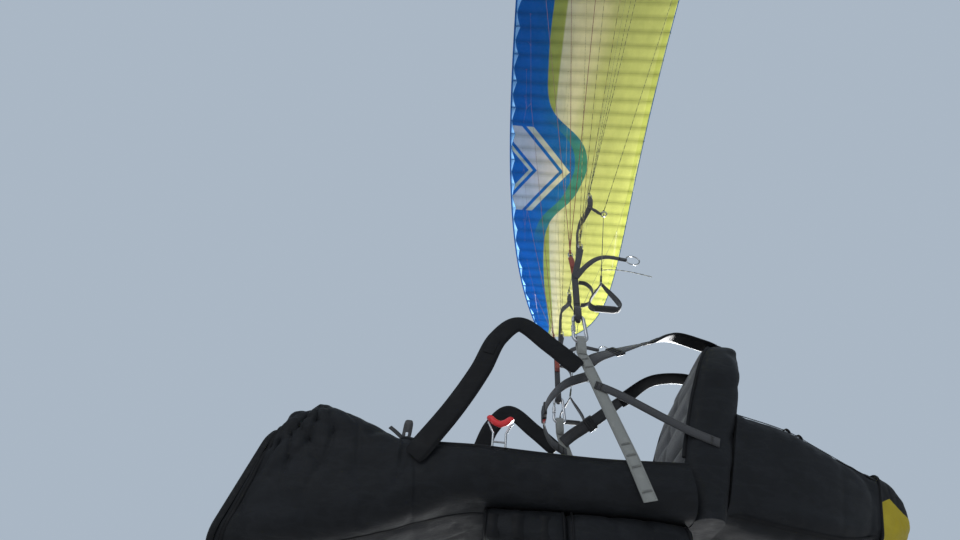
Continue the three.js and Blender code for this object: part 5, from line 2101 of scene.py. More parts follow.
@dataclass
class Pod:
    """The cloth cover that holds the legs, with its open cockpit, and the foot plate at its front."""

    rear: float = -0.230
    hood_edge: float = 0.4706
    front: float = 0.821
    rim_girth: float = 0.2233
    rim_power: float = 7.0
    wall: float = 0.010
    rim_radius: float = 0.0068
    seam_width: float = 0.011
    seam_thick: float = 0.0014
    seam_place: float = 0.80
    ring_seam_x: float = 0.810
    rows: int = 120
    columns: int = 66
    air: Air = Air(1.2, 0.035, near=0.006, out=0.004, inward=0.009)

    def build(self) -> None:
        """Models and dresses the pod."""
        self.cover()
        self.rim()
        self.seams()
        self.foot_plate()
        self.entry_tab()

    def opening(self, x: Rows) -> Rows:
        """How far round from the top's middle the cockpit's opening reaches."""
        run = np.clip((x - self.rear) / (self.hood_edge - self.rear), 0, 1)
        return self.rim_girth * (1 - run**self.rim_power) ** (1 / self.rim_power)

    def folds(self, place: Rows) -> Rows:
        """How far the cloth's folds sink, in metres; the cover lies against its neighbours between them."""
        x, y, z = place[..., 0], place[..., 1], place[..., 2] - HANG[2]
        side = np.clip((np.abs(y) - 0.12) / 0.06, 0, 1)
        ahead = np.clip((x - 0.35) / 0.2, 0, 1)
        sunk = 0.011 * rays(place, (0.724, -0.318), 13, 0.28, 0.7)
        sunk += 0.011 * rays(place, (0.80, -0.39), 13, 0.26, 2.1) * side
        sunk += 0.004 * rays(place, (0.43, -0.47), 9, 0.24, 1.2) * side
        sunk -= 0.006 * np.exp(-(((x - 0.785) / 0.03) ** 2 + ((z + 0.36) / 0.035) ** 2)) * side
        sunk += 0.0035 * rays(place, (-0.118, -0.53), 11, 0.16, 0.4) * side
        sunk += 0.0045 * ridged(place, (2.2, 0.6, 4.6), 28, 1.9) * (0.25 + 0.75 * ahead)
        sunk += 0.0022 * ridged(place, (6.0, 2.0, 9.0), -22, 0.6) * (0.35 + 0.65 * ahead)
        sunk += 0.0016 * ridged(place, (11.0, 7.0, 5.0), 40, 3.3)
        return sunk

    def cover(self) -> None:
        """The shell: outer cloth with folds, and the lining inside it."""
        bend = np.linspace(0, math.pi / 2, self.rows // 2)
        run = np.sin(bend) ** (2 / self.rim_power)
        cockpit = (
            self.rear
            + (self.hood_edge - self.rear) * np.unique(np.concatenate([run, np.linspace(0, 0.95, 40)]))
        )
        even = np.unique(np.round(cockpit / 0.0012) * 0.0012)
        hood = np.linspace(self.hood_edge, self.front, self.rows // 2 + 1)
        x = np.concatenate([even[even < self.hood_edge - 0.001], hood])
        way = POD_SHAPE.way_at(x)
        girth = POD_SHAPE.half_girth(way)
        start = (self.opening(x) / girth)[:, None]
        spread = np.linspace(0, 1, self.columns)
        left = np.maximum(start, spread)
        share = np.concatenate([np.maximum(left, OFF_MIDDLE), -np.maximum(left, OFF_MIDDLE)[:, -2::-1]], 1)
        even = POD_SHAPE.points(way, share)
        places = POD_SHAPE.points(way, share, -self.folds(even))
        piece = Heap().grid(
            places[:, ::-1], POD_SHAPE.texture(way, share)[:, ::-1]
        ).build("pod_cover", closed=False)
        pinned = (
            (x[:, None] < 0.03) | (np.abs(np.abs(share) - self.seam_place) < 0.012)
            | ((np.abs(share) > 0.76) & (x[:, None] < 0.28))
        )
        pinned[:, [0, -1]] = pinned[-2:] = True
        pinned |= np.abs(x[:, None] - self.ring_seam_x) < 0.007
        foot = np.array([0.40, POD_HALF - 0.02, -0.45]) + HANG
        pinned |= np.linalg.norm(places * (1, 0, 1) - foot * (1, 0, 1), axis=-1) < 0.045
        billow(piece, places[pinned], self.air)
        solid = piece.modifiers.new("wall", "SOLIDIFY")
        solid.thickness = self.wall
        solid.offset = -1
        solid.material_offset = 1
        solid.use_even_offset = False
        select_only(piece)
        bpy.ops.object.modifier_apply(modifier=solid.name)
        walls = [face.material_index for face in piece.data.polygons]
        finish_piece(piece, [POD_CLOTH, LINING], Body.HARNESS, Slot.POD, ["pod_shell"], 50)
        piece.data.polygons.foreach_set("material_index", walls)

    def rim_path(self, inward: float = 0.0, proud: float = 0.0) -> Rows:
        """The cockpit's edge, from the left rear round the hood to the right rear."""
        bend = np.linspace(0, math.pi / 2, 70)
        run = np.unique(np.concatenate([np.sin(bend) ** (2 / self.rim_power), np.linspace(0, 0.95, 30)]))
        x = self.rear + (self.hood_edge - self.rear) * run
        way = POD_SHAPE.way_at(x)
        share = ((self.opening(x) + inward) / POD_SHAPE.half_girth(way))[:, None]
        left = POD_SHAPE.points(way, np.maximum(share, OFF_MIDDLE), proud)[:, 0]
        right = left * (1, -1, 1)
        return np.vstack([left, right[-2::-1]])

    def rim(self) -> None:
        """A rolled binding round the cockpit, sewn along its foot."""
        heap = Heap()
        path = self.rim_path(0.0, -self.wall / 2)
        heap.tube(path, self.rim_radius, 12)
        below = self.rim_path(0.011, 0.0006)
        face = unit(below - (below * (1, 0, 1) + (0, 0, -0.09)))
        heap.sew(stitches(below, face, CLOTH_STITCH))
        heap.make("cockpit_rim", [SMOOTH_CLOTH, GREY_THREAD], Body.HARNESS, Slot.POD)

    def seams(self) -> None:
        """Flat seams with two rows of stitches: one low on each side and a ring behind the front edge."""
        heap = Heap()
        for side in Side:
            self.seam(heap, np.linspace(-0.22, 0.80, 120), np.full(120, self.seam_place * side.value))
        self.seam(heap, np.full(160, self.ring_seam_x), np.linspace(-0.995, 0.995, 160))
        heap.make("pod_seams", [SMOOTH_CLOTH, GREY_THREAD], Body.HARNESS, Slot.POD)

    def seam(self, heap: Heap, x: Rows, share: Rows) -> None:
        """One seam along places on the cover."""
        way = POD_SHAPE.way_at(x)
        flat = POD_SHAPE.points(way, share[:, None])
        sunk = self.folds(flat)
        path = POD_SHAPE.points(way, share[:, None], -sunk + 0.0002)[:, 0]
        proud = POD_SHAPE.points(way, share[:, None], -sunk + 0.0112)[:, 0]
        out = unit(proud - path)
        heap.band(path, out, self.seam_width, self.seam_thick)
        across = unit(np.cross(headings(path), out))
        heap.sew(stitch_pair(path, across, out, 0.0034, 0.0008, CLOTH_STITCH))

    def foot_plate(self) -> None:
        """The stiff plate at the front, with a moulded edge and a pad inside."""
        top_x, bottom_x, top_z, bottom_z, half = POD_SHAPE.stations[-1]
        slope = (bottom_x - top_x) / (bottom_z - top_z)

        def ring(shift: float, inward: float) -> tuple[float, ...]:
            """The plate's section, moved ahead and drawn in."""
            top, bottom = top_z - inward, bottom_z + inward
            front_x, rear_x = (top_x + slope * (z - top_z) + SEAT_GAP + shift for z in (top, bottom))
            return front_x, rear_x, top, bottom, half - inward

        outer = (
            (0.0, 0.001), (0.004, 0.0), (0.014, 0.0015), (0.02, 0.006),
            (0.0235, 0.014), (0.0205, 0.030), (0.0195, 0.05), (0.0190, 0.1),
        )
        shape = BodyShape(tuple(ring(*row) for row in outer), 0.05)
        piece, _ = shape.skin("foot_panel", shape.knots, shape.around(shape.knots, 60))
        finish_piece(piece, [FOOT_PANEL], Body.HARNESS, Slot.POD, ["foot_plate"], 35)
        pad = BodyShape(
            (ring(-0.006, 0.03), ring(-0.0055, 0.024), ring(-0.003, 0.0205), ring(0.0, 0.02)), 0.045
        )
        pad_piece, _ = pad.skin("foot_pad", pad.knots, pad.around(pad.knots, 60))
        finish_piece(pad_piece, [RUBBER], Body.HARNESS, Slot.LINING)

    def entry_tab(self) -> None:
        """The slotted pull tab and flat hook on the hood's edge, on the left."""
        rounded = np.stack(flat_ring(49, 0.5), -1)
        middle, hole = np.array([0.470, 0.140, -0.374]), np.array([0.470, 0.140, -0.386])
        wide, narrow, slot = (0.0125, 0.026), (0.0115, 0.025), (0.0034, 0.007)
        sections = [
            (middle, wide, 0.0008), (middle, narrow, 0.0014), (hole, slot, 0.0014), (hole, slot, -0.0014),
            (middle, narrow, -0.0014), (middle, wide, -0.0008), (middle, wide, 0.0008),
        ]
        rows = []
        for centre, half, off in sections:
            flat = rounded * half
            lean = flat[:, 1] + centre[2] - middle[2] + 0.026
            x, y, z = centre[0] + flat[:, 0], centre[1] + off + 3.0 * lean**2, centre[2] + flat[:, 1]
            rows.append(np.stack([x, y, z], -1) + HANG)
        rows = np.array(rows)
        heap = Heap().grid(rows, rows[..., [0, 2]])
        strip = spline(
            np.array([(0.4700, 0.1372, -0.4000), (0.482, 0.138, -0.3935), (0.502, 0.140, -0.380),
                      (0.519, 0.142, -0.370)]) + HANG,
            14
        )
        heap.band(strip, LEFTWARD + UP * 0.5, 0.012, 0.0034, tag=1)
        foot = np.array([(0.492, 0.139, -0.4025), (0.474, 0.1385, -0.4055)]) + HANG
        heap.band(foot, LEFTWARD + UP * 0.5, 0.006, 0.002, tag=1)
        heap.make("entry_tab", [TAB_RUBBER, PALE_PLASTIC], Body.HARNESS, Slot.GREY_WEB)


@dataclass
class Seat:
    """The padded seat in the pod and the boxes below its floor."""

    top: float = -0.470
    half: float = 0.190
    floor_thick: float = 0.0128
    corner: float = 0.028
    piping: float = 0.0026
    columns: int = 56
    rows: int = 60
    cushion_air: Air = Air(3.0, 0.02, near=0.004, out=0.004, inward=0.002)
    bag_air: Air = Air(2.5, 0.03, near=0.005, out=0.004, inward=0.005)

    def build(self) -> None:
        """Models and dresses the seat, the protector and the reserve container."""
        self.cushion()
        protector = [(0.0, 0.062, 0.165), (0.3, 0.088, 0.178), (1.0, 0.092, 0.182)]
        reserve = [(0.0, 0.092, 0.182), (0.6, 0.086, 0.178), (1.0, 0.058, 0.165)]
        self.box("protector_bag", "seat_protector", (-0.225, 0.060), protector, 0.8)
        self.box("reserve_bag", "reserve_container", (0.0604, 0.248), reserve, 2.6)
        self.flap()

    @staticmethod
    def floor(x: Rows) -> Rows:
        """The height of the pod's floor, from the carabiners."""
        return np.interp(x, [-0.23, 0.0, 0.25], [-0.5404, -0.5454, -0.5504])

    def cushion(self) -> None:
        """A foam cushion with sewn channels across it."""
        ends = (-0.2174, 0.25)
        x = np.linspace(*ends, self.rows)
        floor = self.floor(x) + self.floor_thick
        crown = np.clip(np.minimum(x - ends[0], ends[1] - x) / 0.03, 0, 1) ** 0.5
        half = self.half - 0.02 * (1 - crown)
        stations = tuple(
            (a, a, self.top - 0.018 * (1 - c), f + 0.012 * (1 - c), h)
            for a, f, c, h in zip(x, floor, crown, half)
        )
        shape = BodyShape(stations, self.corner)
        share = shape.around(shape.knots, self.columns)
        even = shape.points(shape.knots, share)
        on_top = np.clip((even[..., 2] - HANG[2] - (self.top - 0.02)) / 0.018, 0, 1)
        lines = np.minimum(np.abs(np.mod(even[..., 0] + 0.2, 0.085) - 0.0425), 0.02) / 0.02
        middle = np.clip(np.abs(even[..., 1]) / 0.02, 0, 1)
        sunk = 0.009 * (1 - lines**0.5 * middle**0.5) * on_top + 0.0015
        piece, rows = shape.skin("seat_cushion", shape.knots, share, -sunk)
        sewn = (sunk > 0.0095) | (np.abs(share) > 0.45)
        billow(piece, rows[sewn], self.cushion_air)
        finish_piece(piece, [LINING], Body.HARNESS, Slot.LINING, ["seat"], 60)

    def box(self, name: str, node: str, span: tuple[float, float], table: Sequence, seed: float) -> None:
        """A soft bag under the floor, fuller in the middle and drawn in at its seams."""
        shares = np.linspace(0, 1, self.rows)
        x = span[0] + (span[1] - span[0]) * shares
        depth = np.interp(shares, *np.array(table)[:, :2].T)
        half = np.interp(shares, np.array(table)[:, 0], np.array(table)[:, 2])
        edge = np.clip(np.minimum(shares, 1 - shares) / 0.09, 0, 1)
        drawn_in = 0.016 * (1 - np.sqrt(1 - (1 - edge) ** 2))
        stations = tuple(
            (a, a, f, f - d + i, h - i) for a, f, d, h, i in zip(x, self.floor(x), depth, half, drawn_in)
        )
        shape = BodyShape(stations, self.corner)
        share = shape.around(shape.knots, self.columns)
        even = shape.points(shape.knots, share)
        sunk = (
            0.004 * ridged(even, (5.0, 4.0, 7.0), 15, seed)
            + 0.0025 * ridged(even, (11.0, 7.0, 4.0), -35, seed + 1)
        )
        piece, rows = shape.skin(name, shape.knots, share, -sunk)
        way_share = np.broadcast_to(shape.knots[:, None] / shape.knots[-1], share.shape)
        sewn = (np.abs(share) < 0.34) | (np.abs(np.abs(way_share - 0.5) - 0.45) < 0.012)
        billow(piece, rows[sewn], self.bag_air)
        finish_piece(piece, [POD_CLOTH], Body.HARNESS, Slot.POD, [node], 60)
        heap = Heap()
        for place in (0.05, 0.95):
            ring = shape.points(np.array([shape.knots[-1] * place]), share[:1], 0.0004)[0]
            heap.tube(ring[10:-10], self.piping, 8)
        heap.make(f"{name}_piping", [SMOOTH_CLOTH], Body.HARNESS, Slot.POD)

    def flap(self) -> None:
        """The reserve container's closing flaps on the left side."""
        heap = Heap()
        for x in (0.11, 0.17, 0.225):
            z = float(self.floor(x)) - 0.045
            side = 0.1815 if x < 0.2 else 0.171
            path = np.array([(x - 0.012, side, z), (x, side + 0.003, z), (x + 0.012, side, z)]) + HANG
            heap.band(spline(path, 6), LEFTWARD, 0.05, 0.0018)
        heap.make("reserve_flaps", [SMOOTH_CLOTH], Body.HARNESS, Slot.POD)


@dataclass
class Back:
    """The back: a padded front with sewn channels and a cloth rear, and the blown-up tail with its cap."""

    columns: int = 60
    rows: int = 90
    back_air: Air = Air(2.5, 0.025, near=0.005, out=0.003, inward=0.006)
    tail_air: Air = Air(3.0, 0.03, near=0.005, out=0.004, inward=0.007)
    stations: tuple = (
        (-0.2304, -0.540, 0.196), (-0.2304, -0.430, 0.200), (-0.268, -0.300, 0.200),
        (-0.330, -0.150, 0.200), (-0.400, -0.020, 0.160), (-0.440, 0.040, 0.120),
    )
    corner: float = 0.034
    tail_corner: float = 0.055
    cap_corner: float = 0.04
    piping: float = 0.0045
    cap_piping: float = 0.0028
    rear_foot: float = -0.300
    rear_slope: float = 0.41
    tail_front: tuple = (-0.4266, -0.3065, -0.232, -0.525, 0.186)
    tail_stations: tuple = (
        (-0.560, -0.480, -0.259, -0.545, 0.168), (-0.640, -0.560, -0.290, -0.547, 0.146),
        (-0.725, -0.632, -0.316, -0.538, 0.116), (-0.798, -0.700, -0.328, -0.520, 0.084),
    )
    cap_stations: tuple = (
        (-0.838, -0.772, -0.340, -0.500, 0.064), (-0.857, -0.818, -0.357, -0.478, 0.048),
        (-0.863, -0.834, -0.378, -0.462, 0.034)
    )

    def build(self) -> None:
        """Models and dresses back and tail."""
        self.shell()
        self.tail()
        self.cap()

    def rear_at(self, height: float) -> float:
        """Where the back's rear lies at a height."""
        return self.rear_foot - (height + 0.540) * self.rear_slope

    def shell(self) -> None:
        """The back's pad and cloth as one closed body, rounded at its top."""
        table = [(x, self.rear_at(z), z, z, half) for x, z, half in self.stations]
        x, r, z, _, half = table[-1]
        middle = (x + r) / 2
        table[-1] = (x, r, z - 0.006, z - 0.006, half)
        table.append(
            (middle + (x - middle) * 0.8, middle + (r - middle) * 0.8, z - 0.001, z - 0.001, half * 0.9)
        )
        table.append((middle + (x - middle) * 0.3, middle + (r - middle) * 0.3, z, z, half * 0.7))
        shape = BodyShape(tuple(table), self.corner)
        way = np.unique(
            np.concatenate([np.linspace(0, shape.knots[-1], self.rows),
                            np.linspace(shape.knots[-3], shape.knots[-1], 8)])
        )
        share = shape.around(way, self.columns)
        even = shape.points(way, share)
        height = even[..., 2] - HANG[2]
        front = np.clip((0.36 - np.abs(share)) / 0.05, 0, 1) * np.clip((height + 0.44) / 0.04, 0, 1)
        channel = np.minimum(np.abs(np.mod(height, 0.1) - 0.05), 0.03) / 0.03
        middle_line = np.clip(np.abs(even[..., 1]) / 0.025, 0, 1)
        sunk = 0.012 * (1 - channel**0.6 * (0.4 + 0.6 * middle_line**0.5)) * front
        sunk += (
            0.004 * ridged(even, (3.0, 5.0, 4.0), 35, 1.1) + 0.002 * ridged(even, (8.0, 9.0, 6.0), -20, 2.2)
        ) * (1 - front)
        piece, rows = shape.skin("back_cover", way, share, -sunk)
        pressed = (height < -0.44) | (height > 0.0) | ((sunk > 0.010) & (front > 0.5))
        sewn = (np.abs(np.abs(share) - 0.37) < 0.02) | pressed
        billow(piece, rows[sewn], self.back_air)
        finish_piece(piece, [POD_CLOTH, LINING], Body.HARNESS, Slot.POD, ["back_shell"], 60)
        across = share.shape[1] - 1
        inner = (np.abs(share[:-1, :-1]) < 0.36) & (height[:-1, :-1] > -0.5)
        for k, face in enumerate(piece.data.polygons[: (len(way) - 1) * across]):
            face.material_index = int(inner[k // across, k % across])
        edges = Heap()
        for side in Side:
            ring = shape.points(way, np.full((len(way), 1), 0.37 * side.value), 0.0005)[:, 0]
            keep = ring[:, 2] - HANG[2] > -0.4
            edges.tube(ring[keep], self.piping, 10)
        edges.make("back_piping", [SMOOTH_CLOTH], Body.HARNESS, Slot.POD)

    def tail_shape(self) -> BodyShape:
        """The tail's outer form."""
        return BodyShape((self.tail_front, *self.tail_stations), self.tail_corner)

    def tail(self) -> None:
        """The tail's cloth, fuller between its seams."""
        shape = self.tail_shape()
        way = np.linspace(0, shape.knots[-1], 70)
        share = shape.around(way, self.columns)
        even = shape.points(way, share)
        seam = np.minimum(np.abs(np.abs(share) - 0.26), np.abs(np.abs(share) - 0.74))
        full = 0.0045 * (np.clip(seam / 0.16, 0, 1) ** 0.6 - 1)
        fade = np.clip(np.minimum(way, shape.knots[-1] - way) / 0.035, 0, 1)[:, None]
        sunk = (
            0.009 * ridged(even, (2.0, 2.5, 3.4), 20, 0.9) + 0.003 * ridged(even, (7.0, 5.0, 9.0), -25, 4.1)
        )
        sunk += 0.004 * rays(even, (-0.80, -0.40), 16, 0.14, 0.2)
        piece, rows = shape.skin("tail_cover", way, share, (full - sunk) * fade)
        sewn = (seam < 0.012) | (fade < 0.3)
        billow(piece, rows[sewn], self.tail_air)
        finish_piece(piece, [POD_CLOTH], Body.HARNESS, Slot.POD, ["tail"], 60)
        heap = Heap()
        for side in Side:
            for place in (0.26, 0.74):
                path = shape.points(way[1:], np.full((len(way) - 1, 1), place * side.value), -0.0035)[:, 0]
                middle = path * (1, 0, 1)
                middle[:, 2] = HANG[2] - 0.42
                heap.band(path, path - middle, 0.012, 0.0012)
                out = unit(path - middle)
                over = unit(np.cross(headings(path), out))
                heap.sew(stitch_pair(path, over, out, 0.0037, 0.0007, CLOTH_STITCH))
        self.pulls(heap)
        heap.make("tail_seams", [SMOOTH_CLOTH, GREY_THREAD], Body.HARNESS, Slot.POD)

    def pulls(self, heap: Heap) -> None:
        """Adds two small webbing loops on each upper edge of the tail."""
        shape = self.tail_shape()
        for x in (-0.535, -0.565):
            foot = shape.points(shape.way_at(np.array([x])), np.array([[0.2, -0.2]]), -0.004)[0]
            for place, side in zip(foot, (1, -1)):
                arch = [
                    (-0.007, 0, 0), (-0.008, 0.003, 0.010), (0, 0.006, 0.017), (0.008, 0.003, 0.010),
                    (0.007, 0, 0)
                ]
                path = spline(place + np.array(arch) * (1, side, 1), 16)
                heap.band(path, path - place, 0.012, 0.0016)

    def cap(self) -> None:
        """The yellow end, with a black panel over its ridge."""
        first = self.tail_stations[-1]
        shape = BodyShape(
            ((first[0] - SEAT_GAP, first[1] - SEAT_GAP, *first[2:]), *self.cap_stations), self.cap_corner
        )
        way = np.linspace(0, shape.knots[-1], 30)
        panel = np.interp(way / way[-1], (0, 0.35, 1), (0.47, 0.40, 0.60))[:, None]
        around = shape.around(way[:1], self.columns)[0]
        size = np.abs(around)
        mark = size[np.argmin(np.abs(size - 0.43))]
        inside = size / mark * panel
        outside = panel + (size - mark) / (1 - mark) * (1 - panel)
        share = np.sign(around) * np.where(size <= mark, inside, outside)
        even = shape.points(way, share)
        sunk = (
            0.0035 * ridged(even, (6.0, 7.0, 9.0), 30, 2.7)
            + 0.003 * rays(even, (-0.80, -0.42), 12, 0.08, 1.0)
        )
        rows = shape.points(way, share, -sunk * np.clip(way / 0.014, 0, 1)[:, None])
        end = shape.points(way[-1:], share[:1])[0]
        last = end.mean(axis=0)
        closing = [last + (end - last) * k - AHEAD * 0.004 * (1 - k) for k in (0.8, 0.5, 0.15)]
        rows = np.concatenate([rows, np.array(closing)])
        texture = shape.texture(way, share)
        texture = np.concatenate([texture, np.stack([texture[-1] + (0, 0.004 * k) for k in (1, 2, 3)])])
        piece = Heap().grid(rows, texture, caps=True).build("tail_end")
        finish_piece(piece, [YELLOW_CLOTH, SMOOTH_CLOTH], Body.HARNESS, Slot.YELLOW, ["tail_cap"], 60)
        across = share.shape[1] - 1
        upper = np.maximum(size[:-1], size[1:]) < mark + 1e-6
        for k, face in enumerate(piece.data.polygons):
            grid = k < (len(rows) - 1) * across
            face.material_index = int(upper[k % across] if grid else face.center.x > last[0] + 0.01)
        heap = Heap()
        ring = shape.points(np.array([0.0012]), share[:1], 0.0002)[0]
        heap.tube(ring, self.cap_piping, 8)
        heap.make("tail_binding", [SMOOTH_CLOTH], Body.HARNESS, Slot.POD)


@dataclass
class Straps(OneSide):
    """One side's carabiner and the straps of the harness."""

    clear: float = 0.2323
    top_radius: float = 0.016
    bottom_radius: float = 0.020
    length: float = 0.070
    rod: float = 0.0055
    main_thick: float = 0.004
    main_stitch: float = 0.0125
    loop_width: float = 0.026
    cockpit_half: float = 0.030
    cockpit_thick: float = 0.0058
    shoulder_half: float = 0.029
    shoulder_thick: float = 0.0045

    def build(self) -> None:
        """Models and dresses the straps and the carabiner."""
        self.carabiner()
        self.main_strap()
        self.back_strap()
        self.cockpit_strap()
        self.shoulder_strap()

    def carabiner(self) -> None:
        """An alloy carabiner with its gate at the front and a screwed sleeve on the gate."""
        x, y, z = self.at([(0, CARABINER_Y, 0)])[0]
        top, bottom, length = self.top_radius, self.bottom_radius, self.length
        lean = (bottom - top) / length
        hook, nose = 0.010, 0.012
        moves = [
            Straight((-lean * hook, 0, hook)), Bend((x, y, z), (0, -1, 0), 180, 14),
            Straight((-(bottom - top), 0, -length)),
            Bend((x, y, z - length), (0, -1, 0), 180, 14), Straight((-lean * nose, 0, nose)),
        ]
        bar = drawn("bar", (x + top + lean * hook, y, z - hook), (0, 0, 0), self.rod, moves, ALLOY, 20)
        low = (x + bottom - lean * nose, y, z - length + nose + 0.0006)
        high = (x + top + lean * hook, y, z - hook - 0.0006)
        gate = turned("gate", low, high, barrel(0.0040, 0.0046, 0.03), ALLOY)
        span = np.array(high) - low
        sleeve = turned(
            "sleeve", low + span * 0.12, low + span * 0.66, barrel(0.0056, 0.0064, 0.06), STEEL, 24
        )
        sleeve = sink(
            sleeve, 0.0002, 0.0003, lambda face: abs(face.normal[2]) < 0.3 and face.area > 1e-5, apart=True
        )
        pins = [turned("pin", *(np.array(low) + (0, sign * reach, -0.004) for reach in (0.0058, 0.0048)),
                       [(0, 0.0012), (1, 0.0018)], STEEL, 12) for sign in (1, -1)]
        piece = joined(self.name("snap_link"), [bar, gate, sleeve, *pins])
        ready(piece, Body.HARNESS, Slot.ALLOY, [self.name("carabiner")])

    def strap(
        self, name: str, node: str, path: Rows, face: Rows, width: float, thick: float, finish: Webbing,
        slot: Slot, tacks: Sequence[float] = ()
    ) -> None:
        """A plain strap with edge stitches and bars of stitches.

        Args:
            name: of the piece.
            node: the frame's node that it stands for.
            path: its middle line.
            face: the direction of its flat side.
            width: across it.
            thick: through it.
            finish: its webbing.
            slot: the record's slot.
            tacks: shares of its length that carry a bar of stitches.
        """
        heap = Heap().band(path, face, width, thick)
        ahead, out, over = frames(path, face)
        thread = stitch_pair(path, over, out, width / 2 - 0.0035, thick * 0.52, STRAP_STITCH)
        for share in tacks:
            k = int(share * (len(path) - 1))
            thread += bar_tack(path[k] + out[k] * thick * 0.54, ahead[k], out[k], width * 0.75)
        heap.sew(thread)
        self.dress(heap, name, node, [finish, GREY_THREAD], Body.HARNESS, slot)

    def main_strap(self) -> None:
        """Grey webbing from the carabiner down over the pod's side, with its loop."""
        heap, thread = Heap(), []
        strand, y = -self.length - 0.0037, CARABINER_Y
        legs = [
            (0.0035, -0.136), (0.011, -0.124), (0.011, strand - 0.008), (0.006, strand - 0.0005),
            (0, strand + 0.0003)
        ]
        path = spline(self.at(loop_round(legs)), 44)
        centre = self.at([(0, y, -0.1)])[0]
        heap.band(path, path - centre, self.loop_width, self.main_thick)
        runs = self.at([(0, y, -0.134), (-0.045, y, -0.28), (-0.095, y, -0.44), (-0.118, y, -0.532)])
        runs = along(runs, np.linspace(0, run_lengths(runs)[-1], 60))
        width = np.interp(run_lengths(runs), [0, 0.03, 0.42], [0.028, 0.034, 0.034])
        heap.band(runs, self.outer, width, self.main_thick)
        ahead = unit(runs[-1] - runs[0])
        over = unit(np.cross(self.outer, ahead))
        thread += stitch_pair(runs, over, self.outer, self.main_stitch, 0.0021, STRAP_STITCH)
        for k in (3, 7, 40, 44, 48, 56):
            thread += bar_tack(runs[k] + self.outer * 0.0022, ahead, self.outer, 0.022)
        heap.sew(thread)
        self.dress(heap, "hang_strap", "main_strap", [GREY_WEB, BLACK_THREAD], Body.HARNESS, Slot.GREY_WEB)

    def back_strap(self) -> None:
        """The strap from the main strap back to the pod's rear corner."""
        c = self.clear + 0.0019
        path = spline(
            self.at([(-0.026, c, -0.24), (-0.08, c, -0.262), (-0.25, 0.206, -0.33),
                     (-0.33, 0.2022, -0.36)]),
            40
        )
        self.strap(
            "rear_strap", "back_strap", path, self.outer, 0.026, 0.003, BLACK_WEB, Slot.BLACK_WEB,
            (0.04, 0.1, 0.93)
        )

    def cockpit_strap(self) -> None:
        """The thick padded strap along the cockpit: a cloth cover with sewn edges over foam."""
        c = self.clear + 0.004
        points = [
            (0.014, c, -0.192), (0.092, 0.242, -0.124), (0.186, 0.248, -0.056), (0.246, 0.25, -0.118),
            (0.289, 0.248, -0.238), (0.346, 0.236, -0.352), (0.428, 0.215, -0.478),
        ]
        path = spline(self.at(points), 110)
        _, out, over = frames(path, self.outer + AHEAD * 0.05)
        across, through = flat_ring(29, 0.8)
        across, through = across * self.cockpit_half, through * self.cockpit_thick
        through = np.where(np.abs(across) > 0.0245, through * 0.3, through)
        run = run_lengths(path)
        ends = np.clip(np.minimum(run, run[-1] - run) / 0.02, 0, 1)[:, None] ** 0.5
        ripple = 1 - 0.14 * ridged(path, (14.0, 0.0, 14.0), 45, 0.5)[:, None]
        across, through = across * (0.75 + 0.25 * ends), through * (0.35 + 0.65 * ends) * ripple
        heap = Heap().grid(*pad_rows(path, out, over, across, through), caps=True)
        for face in (out, -out):
            heap.sew(stitch_pair(path, over, face, 0.025, 0.0022, CLOTH_STITCH))
        start, stop = int(0.52 * len(path)), int(0.60 * len(path))
        heap.band(path[start:stop] + out[start:stop] * 0.0066, out[start:stop], 0.03, 0.0012, tag=2)
        piece = self.dress(
            heap, "cockpit_pad", "cockpit_strap", [SMOOTH_CLOTH, BLACK_THREAD, GREY_WEB], Body.HARNESS,
            Slot.BLACK_WEB, 50
        )

    def shoulder_strap(self) -> None:
        """Webbing over the shoulder, padded over the back, with a ladder buckle."""
        points = [
            (-0.492, 0.092, 0.0422), (-0.43, 0.098, 0.06), (-0.33, 0.126, 0.058), (-0.222, 0.162, -0.014),
            (-0.118, 0.202, -0.088), (-0.044, 0.2205, -0.136), (-0.008, 0.2234, -0.168),
        ]
        path = spline(self.at(points), 84)
        s = self.side.value
        turning = spline(np.array([(0, 0, 1), (0.2, 0.2 * s, 1), (0.1, 0.8 * s, 0.5), (0, s, 0)]), 84)
        self.strap(
            "shoulder_web", "shoulder_strap", path, turning, 0.04, 0.0034, BLACK_WEB, Slot.BLACK_WEB,
            (0.02, 0.45, 0.5, 0.97)
        )
        part = slice(3, 44)
        _, out, over = (directions[part] for directions in frames(path, turning))
        run = run_lengths(path[part])
        ends = np.clip(np.minimum(run, run[-1] - run) / 0.025, 0.05, 1)[:, None] ** 0.5
        across, through = flat_ring(25, 0.8)
        across = across * self.shoulder_half * (0.8 + 0.2 * ends)
        through = through * self.shoulder_thick * ends - 0.0035
        heap = Heap().grid(*pad_rows(path[part], out, over, across, through), caps=True)
        heap.sew(stitch_pair(path[part], over, out, 0.0245, -0.0012, CLOTH_STITCH))
        piece = heap.make(
            self.name("shoulder_pad"), [SMOOTH_CLOTH, GREY_THREAD], Body.HARNESS, Slot.BLACK_WEB, (), 50
        )
        self.ladder_buckle(path[58], headings(path)[58], turning[58])

    def ladder_buckle(self, place: Rows, ahead: Rows, out: Rows) -> None:
        """A plastic adjuster round the strap: two bars in a frame."""
        where = frame_at(place, ahead, out)
        frame_block = block("buckle", (0.034, 0.05, 0.0095), (0, 0, 0.0), 0.002, BLACK_PLASTIC)
        frame_block = sink(
            frame_block, 0.006, -0.0012, lambda face: abs(face.normal[2]) > 0.9 and face.area > 1e-4
        )
        rungs = [
            block("rung", (0.004, 0.046, 0.0125), (x, 0, 0), 0.0015, BLACK_PLASTIC) for x in (-0.006, 0.006)
        ]
        piece = joined(self.name("strap_adjuster"), [frame_block, *rungs])
        piece.data.transform(where)
        ready(piece, Body.HARNESS, Slot.DARK_PLASTIC)


